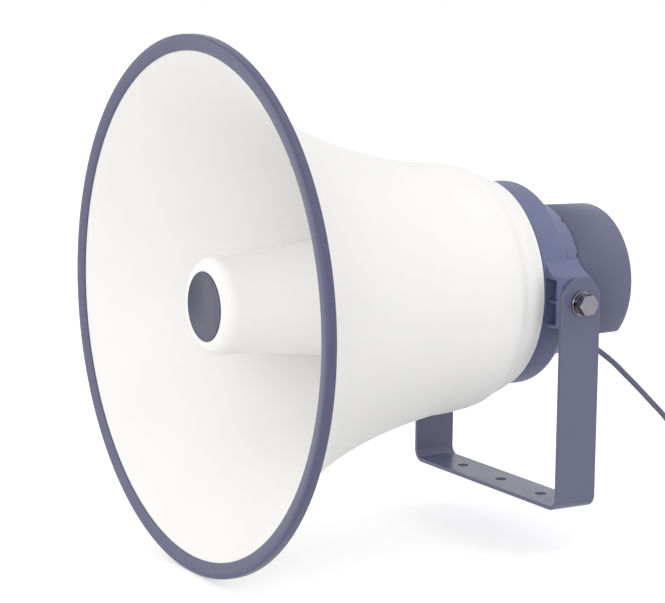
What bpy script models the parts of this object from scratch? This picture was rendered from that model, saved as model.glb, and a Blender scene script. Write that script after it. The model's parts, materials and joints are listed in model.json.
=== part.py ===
"""Public-address reflex horn: spun aluminium bell, die-cast base, compression driver and U bracket.

+Z is up, the mouth faces -Y and the bracket's arms stand on either side in X. The origin is the
middle of the underside of the bracket's base, at its centre hole. Every turned piece is drawn as
(radius, along) points about the horn's axis, where along is measured from the pivot, positive to
the rear.
"""

import math

import bmesh
import bpy
from mathutils import Matrix, Vector

MM = 0.001
GAP = 0.3 * MM  # between pieces that touch
FINE_STEPS = 48  # sides of the largest turned pieces
ROUND_STEPS = 30  # sides of the middle-sized ones
INNER_STEPS = 22  # sides of the driver's hidden pieces
SMALL_STEPS = 16  # sides of bolts, bosses and holes
TINY_STEPS = 10  # sides of screws and their holes

# Bracket
STRIP_WIDTH = 46 * MM
STRIP_THICK = 4 * MM
PIVOT_HEIGHT = 205 * MM
BEND_RADIUS = 9 * MM  # inside of each bend
BEND_STEPS = 6
ARM_ABOVE_PIVOT = 25 * MM
BASE_HOLE_RADIUS = 5.5 * MM
BASE_HOLE_SPACING = 70 * MM
EDGE_ROUND = 0.8 * MM

# Pivot bolts
BOLT_RADIUS = 6 * MM
BOLT_HOLE_CLEARANCE = 0.4 * MM
BOLT_HEAD_ACROSS = 19 * MM
BOLT_HEAD_THICK = 7.5 * MM
BOLT_CHAMFER = 0.8 * MM
BOLT_DEPTH = 20 * MM  # of thread inside the boss
SPRING_WASHER_RADIUS = 10.4 * MM
SPRING_WASHER_THICK = 3 * MM
SPRING_WASHER_SLOT = 2 * MM
FLAT_WASHER_RADIUS = 12 * MM
FLAT_WASHER_THICK = 2.5 * MM

# Bell, whose back end follows the casting's lip
AXIS_RISE = 3.5 * MM  # the horn's axis lies this much above the pivot
MOUTH_RADIUS = 252 * MM  # of its flange
MOUTH_AHEAD = 354.5 * MM  # of the pivot
FLANGE_WIDE = 12 * MM
BELL_WALL = 2 * MM
NECK_SPREAD = 4.5 * MM  # the neck's radius beyond the shoulder's
NECK_AHEAD = 112 * MM
FLARE_GROWTH = 7.9  # per metre
FLARE_STEPS = 9
SHOULDER_SPREAD = 5.5 * MM  # beyond the collar's
SHOULDER_AHEAD = 66 * MM
COLLAR_SPREAD = 9 * MM  # beyond the rear's
COLLAR_AHEAD = 54 * MM
BELL_REAR_SPREAD = 4.5 * MM  # beyond the casting's lip
BELL_REAR_AHEAD = 26 * MM
BELL_REAR_CORNER = 4 * MM

# Rim trim, a channel that grips the mouth's flange
TRIM_BEYOND = 3 * MM  # its radius beyond the mouth's
TRIM_FACE = 15.3 * MM
TRIM_DEPTH = 9.5 * MM
TRIM_THICK = 3.2 * MM  # ahead of the flange
TRIM_CORNER = 3 * MM
TRIM_GRIP = 8 * MM  # how far it reaches in behind the flange

# Reflector, the re-entrant cup in the bell
NOSE_AHEAD = 343 * MM
CUP_FRONT_RADIUS = 47 * MM
CUP_SHOULDER = 12 * MM
FOLD_ROOM = 40 * MM  # from the cup's rear out to the neck's outside
CUP_REAR_AHEAD = 96 * MM
CUP_GROWTH = 9.0  # per metre
CUP_WALL = 2 * MM
CUP_STEPS = 6
CUP_LIP = 9 * MM
BADGE_RADIUS = 33 * MM
BADGE_THICK = 1.5 * MM
BADGE_RECESS = 1 * MM

# Throat tube
THROAT_RADIUS = 12 * MM
THROAT_FLANGE_RADIUS = 42 * MM
THROAT_FLANGE_THICK = 3 * MM
THROAT_MOUTH_RADIUS = 24 * MM
THROAT_MOUTH_SHY = 37 * MM  # from the reflector's nose
THROAT_WALL = 2.2 * MM
SPIGOT_WALL = 5 * MM  # of the throat's thick end, which passes the bell's back
THROAT_SCREW_CIRCLE = 33 * MM
THROAT_SCREW_RADIUS = 2 * MM
POST_RADIUS = 4.5 * MM
POST_COUNT = 3
POST_FIRST_ANGLE = 60
POST_SCREW_RADIUS = 1.8 * MM

# Die-cast base
LIP_RADIUS = 102.5 * MM
LIP_BEHIND = 4 * MM
DOME_STEPS = 6
DOME_POWER = 0.9
COVER_SURROUND = 3.5 * MM  # the casting's rear radius beyond the cover's
BASE_REAR_BEHIND = 40 * MM
BASE_WALL = 4 * MM
BASE_FRONT_THICK = 6 * MM
GASKET_THICK = 1.5 * MM
GASKET_WIDE = 19 * MM
NOTCH_ANGLES = (35, 65)
NOTCH_WIDTH = 5 * MM
NOTCH_DEPTH = 3 * MM
EAR_REACH = 21.7 * MM  # from the lip to the ear's face
EAR_HALF_HEIGHT = 25 * MM
EAR_ROOT_HALF_HEIGHT = 38 * MM
EAR_ROOT_DEEP = 18.5 * MM  # inside the lip
EAR_SWEEP = 20 * MM  # across the hollow curve from its root to its face
EAR_SWEEP_STEPS = 5
EAR_FRONT_AHEAD = 21 * MM
EAR_REAR_BEHIND = 21 * MM
EAR_WALL = 3 * MM
EAR_BACK = 4 * MM  # behind the pocket
EAR_PLATE = 8 * MM
EAR_RIB = 3 * MM
BOSS_RADIUS = 11.5 * MM

# Rear cover
COVER_ROOM = 31 * MM  # its radius beyond the driver's
COVER_DRAFT = 1.5 * MM
COVER_SEAT_BEHIND = 33 * MM
COVER_REAR_BEHIND = 105 * MM
COVER_CORNER = 5 * MM
COVER_WALL = 2.5 * MM
COVER_FLAT_CUT = 24 * MM  # how deep the flat cuts into its round
COVER_SCREW_INSET = 12.5 * MM
COVER_SCREW_RADIUS = 2 * MM
COVER_SCREW_REACH = 10 * MM
COVER_POST_RADIUS = 4.5 * MM
COVER_BOSS_RADIUS = 7.5 * MM

# Cable entry
CHIN_HALF_WIDTH = 26 * MM
CHIN_DEEP = 23 * MM
CHIN_ROOT = 20 * MM  # ahead of the cover's seat
CHIN_REAR_BEHIND = 62 * MM
GLAND_HOLE_RADIUS = 7.8 * MM
GLAND_SHANK = 10 * MM
GLAND_FLANGE_ACROSS = 20 * MM
GLAND_FLANGE_THICK = 5 * MM
GLAND_NUT_RADIUS = 8.5 * MM
GLAND_NUT_LONG = 14 * MM
GLAND_END_RADIUS = 5 * MM
CORD_RADIUS = 3 * MM
CORD_CLEARANCE = 0.4 * MM

# Driver
DRIVER_SEAT_BEHIND = -12 * MM
DRIVER_SEAT_ROOM = 3 * MM
DRIVER_SEAT_WIDE = 12 * MM
DRIVER_RADIUS = 45 * MM
PLUG_THICK = 8 * MM
DOME_HEIGHT = 5 * MM
DIAPHRAGM_INSET = 14 * MM  # of its edge from the driver's
DIAPHRAGM_WALL = 0.8 * MM
DIAPHRAGM_ROOM = 0.8 * MM
TOP_PLATE_THICK = 6 * MM
MAGNET_THICK = 18 * MM
BACK_PLATE_THICK = 6 * MM
POLE_RADIUS = 17 * MM
COIL_RADIUS = 18.2 * MM
COIL_THICK = 0.8 * MM
COIL_LONG = 8 * MM
SLOT_RADIUS = 20 * MM
MAGNET_HOLE = 25 * MM
DRIVER_SCREW_INSET = 5 * MM
DRIVER_SCREW_RADIUS = 2 * MM

# Line transformer
CORE_WIDTH = 48 * MM
CORE_HEIGHT = 40 * MM
CORE_THICK = 18 * MM
LIMB = 8 * MM
WINDING_THICK = 30 * MM
TRAY_THICK = 2 * MM

# Sizes that follow from those above
EAR_FACE = LIP_RADIUS + EAR_REACH
BRACKET_WIDTH = 2 * (EAR_FACE + GAP + STRIP_THICK)
BELL_REAR_RADIUS = LIP_RADIUS + BELL_REAR_SPREAD
COLLAR_RADIUS = BELL_REAR_RADIUS + COLLAR_SPREAD
SHOULDER_RADIUS = COLLAR_RADIUS + SHOULDER_SPREAD
NECK_RADIUS = SHOULDER_RADIUS + NECK_SPREAD
TRIM_RADIUS = MOUTH_RADIUS + TRIM_BEYOND
THROAT_MOUTH_AHEAD = NOSE_AHEAD - THROAT_MOUTH_SHY
SPIGOT_RADIUS = THROAT_RADIUS + THROAT_WALL + SPIGOT_WALL
CUP_REAR_RADIUS = NECK_RADIUS - FOLD_ROOM
COVER_RADIUS = DRIVER_RADIUS + COVER_ROOM
COVER_FLAT_BELOW = COVER_RADIUS - COVER_FLAT_CUT
COVER_SCREW_CIRCLE = COVER_RADIUS - COVER_SCREW_INSET
BASE_REAR_RADIUS = COVER_RADIUS + COVER_SURROUND
CHIN_BELOW = COVER_FLAT_BELOW + CHIN_DEEP
DRIVER_SEAT_RADIUS = DRIVER_RADIUS + DRIVER_SEAT_ROOM
DRIVER_SCREW_CIRCLE = DRIVER_RADIUS - DRIVER_SCREW_INSET
DIAPHRAGM_RADIUS = DRIVER_RADIUS - DIAPHRAGM_INSET
FLOOR = PIVOT_HEIGHT + AXIS_RISE - TRIM_RADIUS  # what the rim and the cord's coil lie on

# Cord, with its points chosen by eye: aside, along, then height above the bracket's underside
CORD_ROUTE = (
    (0.0, 99.0, 140.6),
    (0.0, 110.0, 134.2),
    (0.0, 129.0, 121.4),
    (0.0, 143.0, 110.6),
    (0.0, 156.0, 99.0),
    (0.0, 170.0, 86.6),
    (0.0, 191.0, 67.0),
    (0.0, 212.0, 47.0),
    (-0.5, 229.0, 27.0),
    (-1.0, 243.0, 5.0),
    (-1.5, 254.0, -16.0),
    (-2.0, 264.0, -31.0),
    (-2.2, 277.0, -41.0),
    (-2.4, 292.0, -43.2),
)
CORD_POINT_COUNT = 38
COIL_TURN_RADIUS = 29 * MM
COIL_HALF_WIDE = 6 * MM
COIL_HALF_TALL = 6 * MM

WHITE_PAINT = ("white_paint", (0.86, 0.855, 0.84), 0.45, 0.0)
BLUE_PAINT = ("blue_grey_paint", (0.165, 0.175, 0.26), 0.42, 0.0)
BARE_STEEL = ("bright_steel", (0.62, 0.61, 0.60), 0.28, 1.0)
DARK_STEEL = ("dark_steel", (0.30, 0.30, 0.31), 0.40, 1.0)
FERRITE = ("ferrite", (0.07, 0.07, 0.075), 0.60, 0.0)
RUBBER = ("rubber", (0.05, 0.05, 0.055), 0.80, 0.0)
BLACK_PLASTIC = ("black_plastic", (0.04, 0.04, 0.045), 0.50, 0.0)
COPPER = ("copper", (0.60, 0.30, 0.16), 0.35, 1.0)
FILM = ("diaphragm_film", (0.55, 0.42, 0.24), 0.40, 0.0)
SHEATH = ("cord_sheath", (0.13, 0.135, 0.20), 0.55, 0.0)


def clear_scene():
    for thing in list(bpy.data.objects):
        bpy.data.objects.remove(thing, do_unlink=True)


def material(finish):
    name, colour, roughness, metallic = finish
    made = bpy.data.materials.get(name)
    if made is None:
        made = bpy.data.materials.new(name)
        made.use_nodes = True
        shader = made.node_tree.nodes["Principled BSDF"]
        shader.inputs["Base Color"].default_value = (*colour, 1)
        shader.inputs["Roughness"].default_value = roughness
        shader.inputs["Metallic"].default_value = metallic
    return made


def new_object(name, shape, finish, parent=None, smooth=True):
    """The bmesh as an object. The parent is an empty, and the shape is in its frame."""
    bmesh.ops.triangulate(shape, faces=shape.faces[:])
    bmesh.ops.recalc_face_normals(shape, faces=shape.faces[:])
    mesh = bpy.data.meshes.new(name)
    shape.to_mesh(mesh)
    shape.free()
    if smooth:
        mesh.shade_smooth()
        mesh.set_sharp_from_angle(angle=math.radians(35))
    made = bpy.data.objects.new(name, mesh)
    bpy.context.scene.collection.objects.link(made)
    made.parent = parent
    if finish:
        mesh.materials.append(material(finish))
    return made


def empty(name, place):
    made = bpy.data.objects.new(name, None)
    made.location = place
    bpy.context.scene.collection.objects.link(made)
    return made


def helper(made):
    """Marks an object that only cuts or joins another."""
    made.hide_render = True
    made.display_type = "WIRE"
    return made


def boolean(target, other, operation, solver="EXACT"):
    step = target.modifiers.new(other.name, "BOOLEAN")
    step.operation = operation
    step.solver = solver
    step.object = helper(other)


def turn_about(shape, degrees, axis):
    turn = Matrix.Rotation(math.radians(degrees), 3, axis)
    bmesh.ops.rotate(shape, verts=shape.verts[:], cent=(0, 0, 0), matrix=turn)


def turned(profile, sides, centre=(0, 0)):
    """A closed bmesh turned about an axis along Y, from (radius, along) points in order round its section.

    A section that begins and ends on the axis is left open there, because the spin closes it.
    """
    shape = bmesh.new()
    points = [shape.verts.new((radius, along, 0)) for radius, along in profile]
    on_axis = profile[0][0] == 0 and profile[-1][0] == 0
    ends = list(zip(points, points[1:] + points[:1]))
    if on_axis:
        ends.pop()
    edges = [shape.edges.new(pair) for pair in ends]
    bmesh.ops.spin(
        shape, geom=points + edges, cent=(0, 0, 0), axis=(0, 1, 0),
        angle=2 * math.pi, steps=sides, use_merge=True, use_duplicate=False,
    )
    bmesh.ops.remove_doubles(shape, verts=shape.verts[:], dist=1e-6)
    if centre != (0, 0):
        # A quarter step round keeps a hole's corners off the spokes of the piece that it cuts.
        turn_about(shape, 90 / sides, "Y")
    bmesh.ops.translate(shape, verts=shape.verts[:], vec=(centre[0], 0, centre[1]))
    return shape


def ring(inner, outer, front, rear, sides, centre=(0, 0)):
    return turned([(inner, front), (outer, front), (outer, rear), (inner, rear)], sides, centre)


def rod(radius, front, rear, sides, centre=(0, 0)):
    return turned([(0, front), (radius, front), (radius, rear), (0, rear)], sides, centre)


def prism(across, front, rear, sides=6):
    """A bar with flats, along Y: across is the distance between two opposite flats."""
    radius = across / 2 / math.cos(math.pi / sides)
    angles = [2 * math.pi * i / sides for i in range(sides)]
    outline = [(radius * math.sin(angle), front, radius * math.cos(angle)) for angle in angles]
    return pulled(outline, (0, rear - front, 0))


def pulled(outline, by):
    """A closed bmesh: the flat outline of (x, y, z) points, pulled along the vector."""
    shape = bmesh.new()
    face = shape.faces.new([shape.verts.new(point) for point in outline])
    moved = bmesh.ops.extrude_face_region(shape, geom=[face])["geom"]
    bmesh.ops.translate(shape, vec=by, verts=[v for v in moved if isinstance(v, bmesh.types.BMVert)])
    return shape


def block(low, high):
    shape = bmesh.new()
    bmesh.ops.create_cube(shape, size=1)
    low, high = Vector(low), Vector(high)
    bmesh.ops.scale(shape, vec=high - low, verts=shape.verts[:])
    bmesh.ops.translate(shape, vec=(low + high) / 2, verts=shape.verts[:])
    return shape


def add_shape(shape, other):
    """Puts the other bmesh's pieces into the shape, and frees it."""
    mesh = bpy.data.meshes.new("joined")
    bmesh.ops.recalc_face_normals(other, faces=other.faces[:])
    other.to_mesh(mesh)
    other.free()
    shape.from_mesh(mesh)
    bpy.data.meshes.remove(mesh)
    return shape


def both_sides(shape):
    """The shape with its mirror image across X."""
    copy = shape.copy()
    bmesh.ops.scale(copy, vec=(-1, 1, 1), verts=copy.verts[:])
    bmesh.ops.reverse_faces(copy, faces=copy.faces[:])
    return add_shape(shape, copy)


def arc(centre, radius, start, end, steps):
    """Points of (radius, along) round a corner, with angles in degrees from the radial direction."""
    found = []
    for i in range(steps + 1):
        angle = math.radians(start + (end - start) * i / steps)
        found.append((centre[0] + radius * math.cos(angle), centre[1] + radius * math.sin(angle)))
    return found


def flare(start_radius, end_radius, start, end, growth, steps):
    """An exponential horn's (radius, along) points, from its narrow end to its wide one."""
    length = abs(end - start)
    scale = (end_radius - start_radius) / (math.exp(growth * length) - 1)
    found = []
    for i in range(steps + 1):
        share = i / steps
        radius = start_radius + scale * (math.exp(growth * length * share) - 1)
        found.append((radius, start + (end - start) * share))
    return found


def walled(outer, wall):
    """A closed section: the outline, and back along it one wall inwards, square to each stretch."""
    inner = []
    for i, point in enumerate(outer):
        before = Vector(outer[max(i - 1, 0)])
        after = Vector(outer[min(i + 1, len(outer) - 1)])
        along = (after - before).normalized()
        inner.append((point[0] - along.y * wall, point[1] + along.x * wall))
    return outer + inner[::-1]


def u_bracket():
    half = BRACKET_WIDTH / 2
    top = PIVOT_HEIGHT + ARM_ABOVE_PIVOT
    outside = [(half, top)]
    inside = [(half - STRIP_THICK, top)]
    bend = BEND_RADIUS + STRIP_THICK
    for i in range(BEND_STEPS + 1):
        angle = math.radians(90 * i / BEND_STEPS)
        outside.append((half - bend + bend * math.cos(angle), bend - bend * math.sin(angle)))
        inside.append((half - bend + BEND_RADIUS * math.cos(angle), bend - BEND_RADIUS * math.sin(angle)))
    right = outside + [(-x, z) for x, z in reversed(outside)]
    left = inside + [(-x, z) for x, z in reversed(inside)]
    section = [(x, -STRIP_WIDTH / 2, z) for x, z in right + left[::-1]]
    strip = new_object("u_bracket", pulled(section, (0, STRIP_WIDTH, 0)), BLUE_PAINT)

    end_radius = STRIP_WIDTH / 2
    middle = top - end_radius
    points = [(-end_radius - MM, -MM), (end_radius + MM, -MM), (end_radius + MM, middle - MM)]
    points += [
        (end_radius * math.cos(math.radians(a)), middle + end_radius * math.sin(math.radians(a)))
        for a in range(0, 181, 15)
    ]
    points += [(-end_radius - MM, middle - MM)]
    outline = pulled([(-half - MM, y, z) for y, z in points], (BRACKET_WIDTH + 2 * MM, 0, 0))
    boolean(strip, new_object("arm_outline", outline, None), "INTERSECT")

    holes = rod(BOLT_RADIUS + BOLT_HOLE_CLEARANCE, -half - MM, half + MM, SMALL_STEPS)
    turn_about(holes, 90, "Z")
    bmesh.ops.translate(holes, verts=holes.verts[:], vec=(0, 0, PIVOT_HEIGHT))
    for i in (-1, 0, 1):
        hole = rod(BASE_HOLE_RADIUS, -MM, STRIP_THICK + MM, SMALL_STEPS)
        turn_about(hole, 90, "X")
        bmesh.ops.translate(hole, verts=hole.verts[:], vec=(i * BASE_HOLE_SPACING, 0, 0))
        add_shape(holes, hole)
    boolean(strip, new_object("bracket_holes", holes, None), "DIFFERENCE")
    soft = strip.modifiers.new("edges", "BEVEL")
    soft.width = EDGE_ROUND
    soft.segments = 1
    soft.limit_method = "ANGLE"
    soft.angle_limit = math.radians(50)


def bell_outline():
    """The bell's outer (radius, along) points from the mouth to the middle of its back."""
    flange_back = -MOUTH_AHEAD + BELL_WALL
    flare_end = MOUTH_RADIUS - FLANGE_WIDE
    flared = flare(NECK_RADIUS, flare_end, -NECK_AHEAD, flange_back, FLARE_GROWTH, FLARE_STEPS)
    half_way = ((NECK_RADIUS + SHOULDER_RADIUS) / 2 + MM, -(NECK_AHEAD + SHOULDER_AHEAD) / 2)
    corner = (BELL_REAR_RADIUS - BELL_REAR_CORNER, -BELL_REAR_AHEAD - BELL_REAR_CORNER)
    outline = [(MOUTH_RADIUS, flange_back)] + flared[::-1]
    outline += [half_way, (SHOULDER_RADIUS, -SHOULDER_AHEAD), (COLLAR_RADIUS, -COLLAR_AHEAD)]
    bulge_radius = (COLLAR_RADIUS + BELL_REAR_RADIUS) / 2 + 0.7 * MM
    bulge_along = -(COLLAR_AHEAD + BELL_REAR_AHEAD) / 2 - 2 * MM
    return outline + [(bulge_radius, bulge_along)] + arc(corner, BELL_REAR_CORNER, 0, 90, 2)


def bell_shell(horn):
    hole = (SPIGOT_RADIUS + MM, -BELL_REAR_AHEAD)
    shape = turned(walled(bell_outline() + [hole], BELL_WALL), FINE_STEPS)
    places = screw_places(THROAT_SCREW_CIRCLE, 4, 45)
    back = -BELL_REAR_AHEAD
    drilled("bell", shape, WHITE_PAINT, horn, places, THROAT_SCREW_RADIUS + GAP, back - BELL_WALL, back)


def screw_places(circle, count, first):
    """(x, z) places on a circle, with the first angle in degrees from +Z towards +X."""
    found = []
    for i in range(count):
        angle = math.radians(first + 360 * i / count)
        found.append((circle * math.sin(angle), circle * math.cos(angle)))
    return found


def rim_trim(horn):
    """The edging: a channel round the flange, with a face that falls towards the bell and a round corner."""
    clear = 1.5 * GAP
    seat = -MOUTH_AHEAD - clear
    behind = -MOUTH_AHEAD + BELL_WALL + clear
    front = seat - TRIM_THICK
    rear = front + TRIM_DEPTH
    inner = TRIM_RADIUS - TRIM_FACE
    way = MOUTH_RADIUS + clear
    grip = TRIM_RADIUS - TRIM_GRIP
    corner = (TRIM_RADIUS - TRIM_CORNER, front + TRIM_CORNER)
    points = [
        (inner, seat), (inner + 0.2 * TRIM_FACE, seat - 0.5 * TRIM_THICK),
        (inner + 0.45 * TRIM_FACE, seat - 0.85 * TRIM_THICK),
    ]
    points += arc(corner, TRIM_CORNER, -90, 0, 3)
    points += [(TRIM_RADIUS, rear - MM), (TRIM_RADIUS - MM, rear), (grip, rear)]
    points += [(grip, behind), (way, behind), (way, seat)]
    new_object("rim_trim", turned(points, FINE_STEPS), BLUE_PAINT, horn)


def reflector(horn):
    corner = (CUP_FRONT_RADIUS - CUP_SHOULDER, -NOSE_AHEAD + CUP_SHOULDER)
    front = [(0, -NOSE_AHEAD + BADGE_RECESS), (BADGE_RADIUS + GAP, -NOSE_AHEAD + BADGE_RECESS)]
    front += [(BADGE_RADIUS + GAP, -NOSE_AHEAD)]
    front += arc(corner, CUP_SHOULDER, -90, 0, 4)
    walls = flare(
        CUP_FRONT_RADIUS, CUP_REAR_RADIUS, -NOSE_AHEAD + 2 * CUP_SHOULDER, -CUP_REAR_AHEAD,
        CUP_GROWTH, CUP_STEPS,
    )
    lip_radius = CUP_REAR_RADIUS + CUP_LIP
    lip = [(lip_radius, -CUP_REAR_AHEAD), (lip_radius, -CUP_REAR_AHEAD + CUP_WALL)]
    inner = [(radius - CUP_WALL, along) for radius, along in walls[::-1]]
    inner[0] = (CUP_REAR_RADIUS - CUP_WALL, -CUP_REAR_AHEAD + CUP_WALL)
    inner += arc(corner, CUP_SHOULDER - CUP_WALL, 0, -90, 2)
    profile = front + walls[1:] + lip + inner + [(0, -NOSE_AHEAD + CUP_WALL + BADGE_RECESS)]
    lip_middle = CUP_REAR_RADIUS + CUP_LIP / 2
    places = screw_places(lip_middle, POST_COUNT, POST_FIRST_ANGLE)
    back = -CUP_REAR_AHEAD + CUP_WALL
    drilled(
        "reflector", turned(profile, ROUND_STEPS), WHITE_PAINT, horn, places, POST_SCREW_RADIUS + GAP,
        -CUP_REAR_AHEAD, back,
    )
    badge = [
        (0, -NOSE_AHEAD + BADGE_RECESS - GAP), (BADGE_RADIUS, -NOSE_AHEAD + BADGE_RECESS - GAP),
        (BADGE_RADIUS, -NOSE_AHEAD + BADGE_RECESS - GAP - 0.7 * BADGE_THICK),
        (BADGE_RADIUS - 0.5 * MM, -NOSE_AHEAD + BADGE_RECESS - GAP - BADGE_THICK),
        (0, -NOSE_AHEAD + BADGE_RECESS - GAP - BADGE_THICK),
    ]
    new_object("badge_disc", turned(badge, ROUND_STEPS), BLUE_PAINT, horn)

    seat = -BELL_REAR_AHEAD - BELL_WALL - GAP
    for i, place in enumerate(places, 1):
        front_end = back + GAP
        bore = POST_SCREW_RADIUS + GAP
        post = turned([
            (0, front_end + 12 * MM), (bore, front_end + 12 * MM), (bore, front_end),
            (POST_RADIUS, front_end), (POST_RADIUS, seat), (0, seat),
        ], TINY_STEPS, place)
        new_object(f"reflector_post_{i}", post, WHITE_PAINT, horn)
        fixing = screw(POST_SCREW_RADIUS, -CUP_REAR_AHEAD - GAP, front_end + 11 * MM, place)
        new_object(f"reflector_screw_{i}", fixing, BARE_STEEL, horn)


def throat_tube(horn):
    seat = -BELL_REAR_AHEAD - BELL_WALL - GAP
    front_flange = seat - THROAT_FLANGE_THICK
    tube = flare(THROAT_RADIUS + THROAT_WALL, THROAT_MOUTH_RADIUS, front_flange, -THROAT_MOUTH_AHEAD, 3.0, 4)
    spigot = -BELL_REAR_AHEAD + GASKET_THICK
    profile = [(THROAT_FLANGE_RADIUS, seat), (THROAT_FLANGE_RADIUS, front_flange + MM)]
    root = THROAT_RADIUS + THROAT_WALL
    profile += [(THROAT_FLANGE_RADIUS - MM, front_flange), (root + 2 * MM, front_flange)]
    profile += [(root, front_flange - 2 * MM)] + tube[1:]
    profile += [(radius - THROAT_WALL, along) for radius, along in tube[:0:-1]]
    profile += [(THROAT_RADIUS, front_flange), (THROAT_RADIUS, spigot)]
    profile += [(SPIGOT_RADIUS, spigot), (SPIGOT_RADIUS, seat)]
    places = screw_places(THROAT_SCREW_CIRCLE, 4, 45)
    hole = THROAT_SCREW_RADIUS + GAP
    drilled("throat_tube", turned(profile, ROUND_STEPS), WHITE_PAINT, horn, places, hole, front_flange, seat)
    for i, place in enumerate(places, 1):
        fixing = screw(THROAT_SCREW_RADIUS, front_flange - GAP, base_front() + 4 * MM, place)
        new_object(f"throat_screw_{i}", fixing, BARE_STEEL, horn)


def base_front():
    """Where the casting's front face lies, along the axis."""
    return -BELL_REAR_AHEAD + GASKET_THICK + 2 * GAP


def base_frame(horn):
    front = base_front()
    back = front + BASE_FRONT_THICK
    dome = []
    for i in range(1, DOME_STEPS):
        share = i / DOME_STEPS
        fall = (LIP_RADIUS - BASE_REAR_RADIUS) * share**DOME_POWER
        dome.append((LIP_RADIUS - fall, LIP_BEHIND + (BASE_REAR_BEHIND - LIP_BEHIND) * share))
    throat = SPIGOT_RADIUS + GAP
    outer = [(LIP_RADIUS - MM, front), (LIP_RADIUS, front + MM), (LIP_RADIUS, LIP_BEHIND)]
    outer += dome + [(BASE_REAR_RADIUS, BASE_REAR_BEHIND)]
    ledge = COVER_SEAT_BEHIND - BASE_WALL
    inner = [(0, ledge), (BASE_REAR_RADIUS - BASE_WALL, ledge)]
    inner += [(LIP_RADIUS - 2 * BASE_WALL, LIP_BEHIND - BASE_WALL), (LIP_RADIUS - 2 * BASE_WALL, back)]
    seat_inner = DRIVER_SEAT_RADIUS - DRIVER_SEAT_WIDE
    seat = [(DRIVER_SEAT_RADIUS + BASE_WALL, back), (DRIVER_SEAT_RADIUS + BASE_WALL, DRIVER_SEAT_BEHIND)]
    seat += [(seat_inner, DRIVER_SEAT_BEHIND), (seat_inner, back + 2 * MM)]
    seat += [(THROAT_RADIUS, back + 2 * MM), (THROAT_RADIUS, front + 2 * MM)]
    profile = inner + seat + [(throat, front + 2 * MM), (throat, front)] + outer + [(0, BASE_REAR_BEHIND)]
    casting = new_object("base_frame", turned(profile, FINE_STEPS), BLUE_PAINT, horn)
    boolean(casting, ear_blocks(horn), "UNION")
    boolean(casting, ear_pockets(horn), "DIFFERENCE")
    boolean(casting, ear_bosses(horn), "UNION")
    boolean(casting, chin_block(horn), "UNION")
    seat_way = (COVER_RADIUS + GAP, COVER_SEAT_BEHIND, BASE_REAR_BEHIND + MM, COVER_FLAT_BELOW + GAP)
    boolean(casting, flatted_disc("cover_seat", horn, *seat_way), "DIFFERENCE")
    way_radius = COVER_RADIUS - COVER_WALL - BASE_WALL
    inside_way = (way_radius, ledge - MM, COVER_SEAT_BEHIND + MM, COVER_FLAT_BELOW - BASE_WALL)
    boolean(casting, flatted_disc("cover_way", horn, *inside_way), "DIFFERENCE")
    boolean(casting, base_bosses(horn), "UNION")
    boolean(casting, base_cuts(horn), "DIFFERENCE")


def ear_blocks(horn):
    """Two lugs that sweep out of the casting's side in a hollow curve, to a face at the arm."""
    rise = -AXIS_RISE
    front, rear = -EAR_FRONT_AHEAD, EAR_REAR_BEHIND
    outline = [(LIP_RADIUS - EAR_ROOT_DEEP, EAR_ROOT_HALF_HEIGHT)]
    sweep_start = EAR_FACE - EAR_PLATE - EAR_SWEEP
    for i in range(EAR_SWEEP_STEPS + 1):
        share = i / EAR_SWEEP_STEPS
        fall = (EAR_ROOT_HALF_HEIGHT - EAR_HALF_HEIGHT) * (1 - share) ** 2
        outline.append((sweep_start + EAR_SWEEP * share, EAR_HALF_HEIGHT + fall))
    outline.append((EAR_FACE, EAR_HALF_HEIGHT))
    outline += [(x, -z) for x, z in reversed(outline)]
    shape = pulled([(x, front, z + rise) for x, z in outline], (0, rear - front, 0))
    return new_object("ear_blocks", both_sides(shape), None, horn)


def ear_pockets(horn):
    """The hollow of each lug, open towards the bell."""
    shape = block(
        (LIP_RADIUS - BASE_WALL + MM, -EAR_FRONT_AHEAD - MM, -EAR_HALF_HEIGHT + EAR_WALL - AXIS_RISE),
        (EAR_FACE - EAR_PLATE, EAR_REAR_BEHIND - EAR_BACK, EAR_HALF_HEIGHT - EAR_WALL - AXIS_RISE),
    )
    return new_object("ear_pockets", both_sides(shape), None, horn)


def ear_bosses(horn):
    """The threaded boss in each pocket, and the rib that ties it to the walls."""
    low_x, high_x = LIP_RADIUS - 2 * BASE_WALL + MM, EAR_FACE
    shape = rod(BOSS_RADIUS, -high_x + MM, -low_x, SMALL_STEPS)
    turn_about(shape, 90, "Z")
    bmesh.ops.translate(shape, verts=shape.verts[:], vec=(0, 0, -AXIS_RISE))
    bosses = new_object("ear_bosses", both_sides(shape), None, horn)
    rib = block(
        (low_x, -EAR_FRONT_AHEAD + 2 * MM, -EAR_RIB / 2 - AXIS_RISE),
        (high_x - 2 * MM, EAR_REAR_BEHIND - MM, EAR_RIB / 2 - AXIS_RISE),
    )
    boolean(bosses, new_object("ear_ribs", both_sides(rib), None, horn), "UNION")
    return bosses


def base_bosses(horn):
    """The three pillars inside the casting that carry the cover's posts."""
    shape = bmesh.new()
    front, rear = base_front() + 2 * MM, COVER_SEAT_BEHIND - MM
    for place in cover_screw_places():
        add_shape(shape, rod(COVER_BOSS_RADIUS, front, rear, TINY_STEPS, place))
    return new_object("base_bosses", shape, None, horn)


def flatted_disc(name, horn, radius, front, rear, flat_below):
    """A disc about the axis, cut flat below: the shape of the cover's plan."""
    disc = new_object(name, rod(radius, front, rear, FINE_STEPS), None, horn)
    below = block((-radius - MM, front - MM, -radius - MM), (radius + MM, rear + MM, -flat_below))
    boolean(disc, new_object(name + "_flat", below, None, horn), "DIFFERENCE")
    return disc


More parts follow.
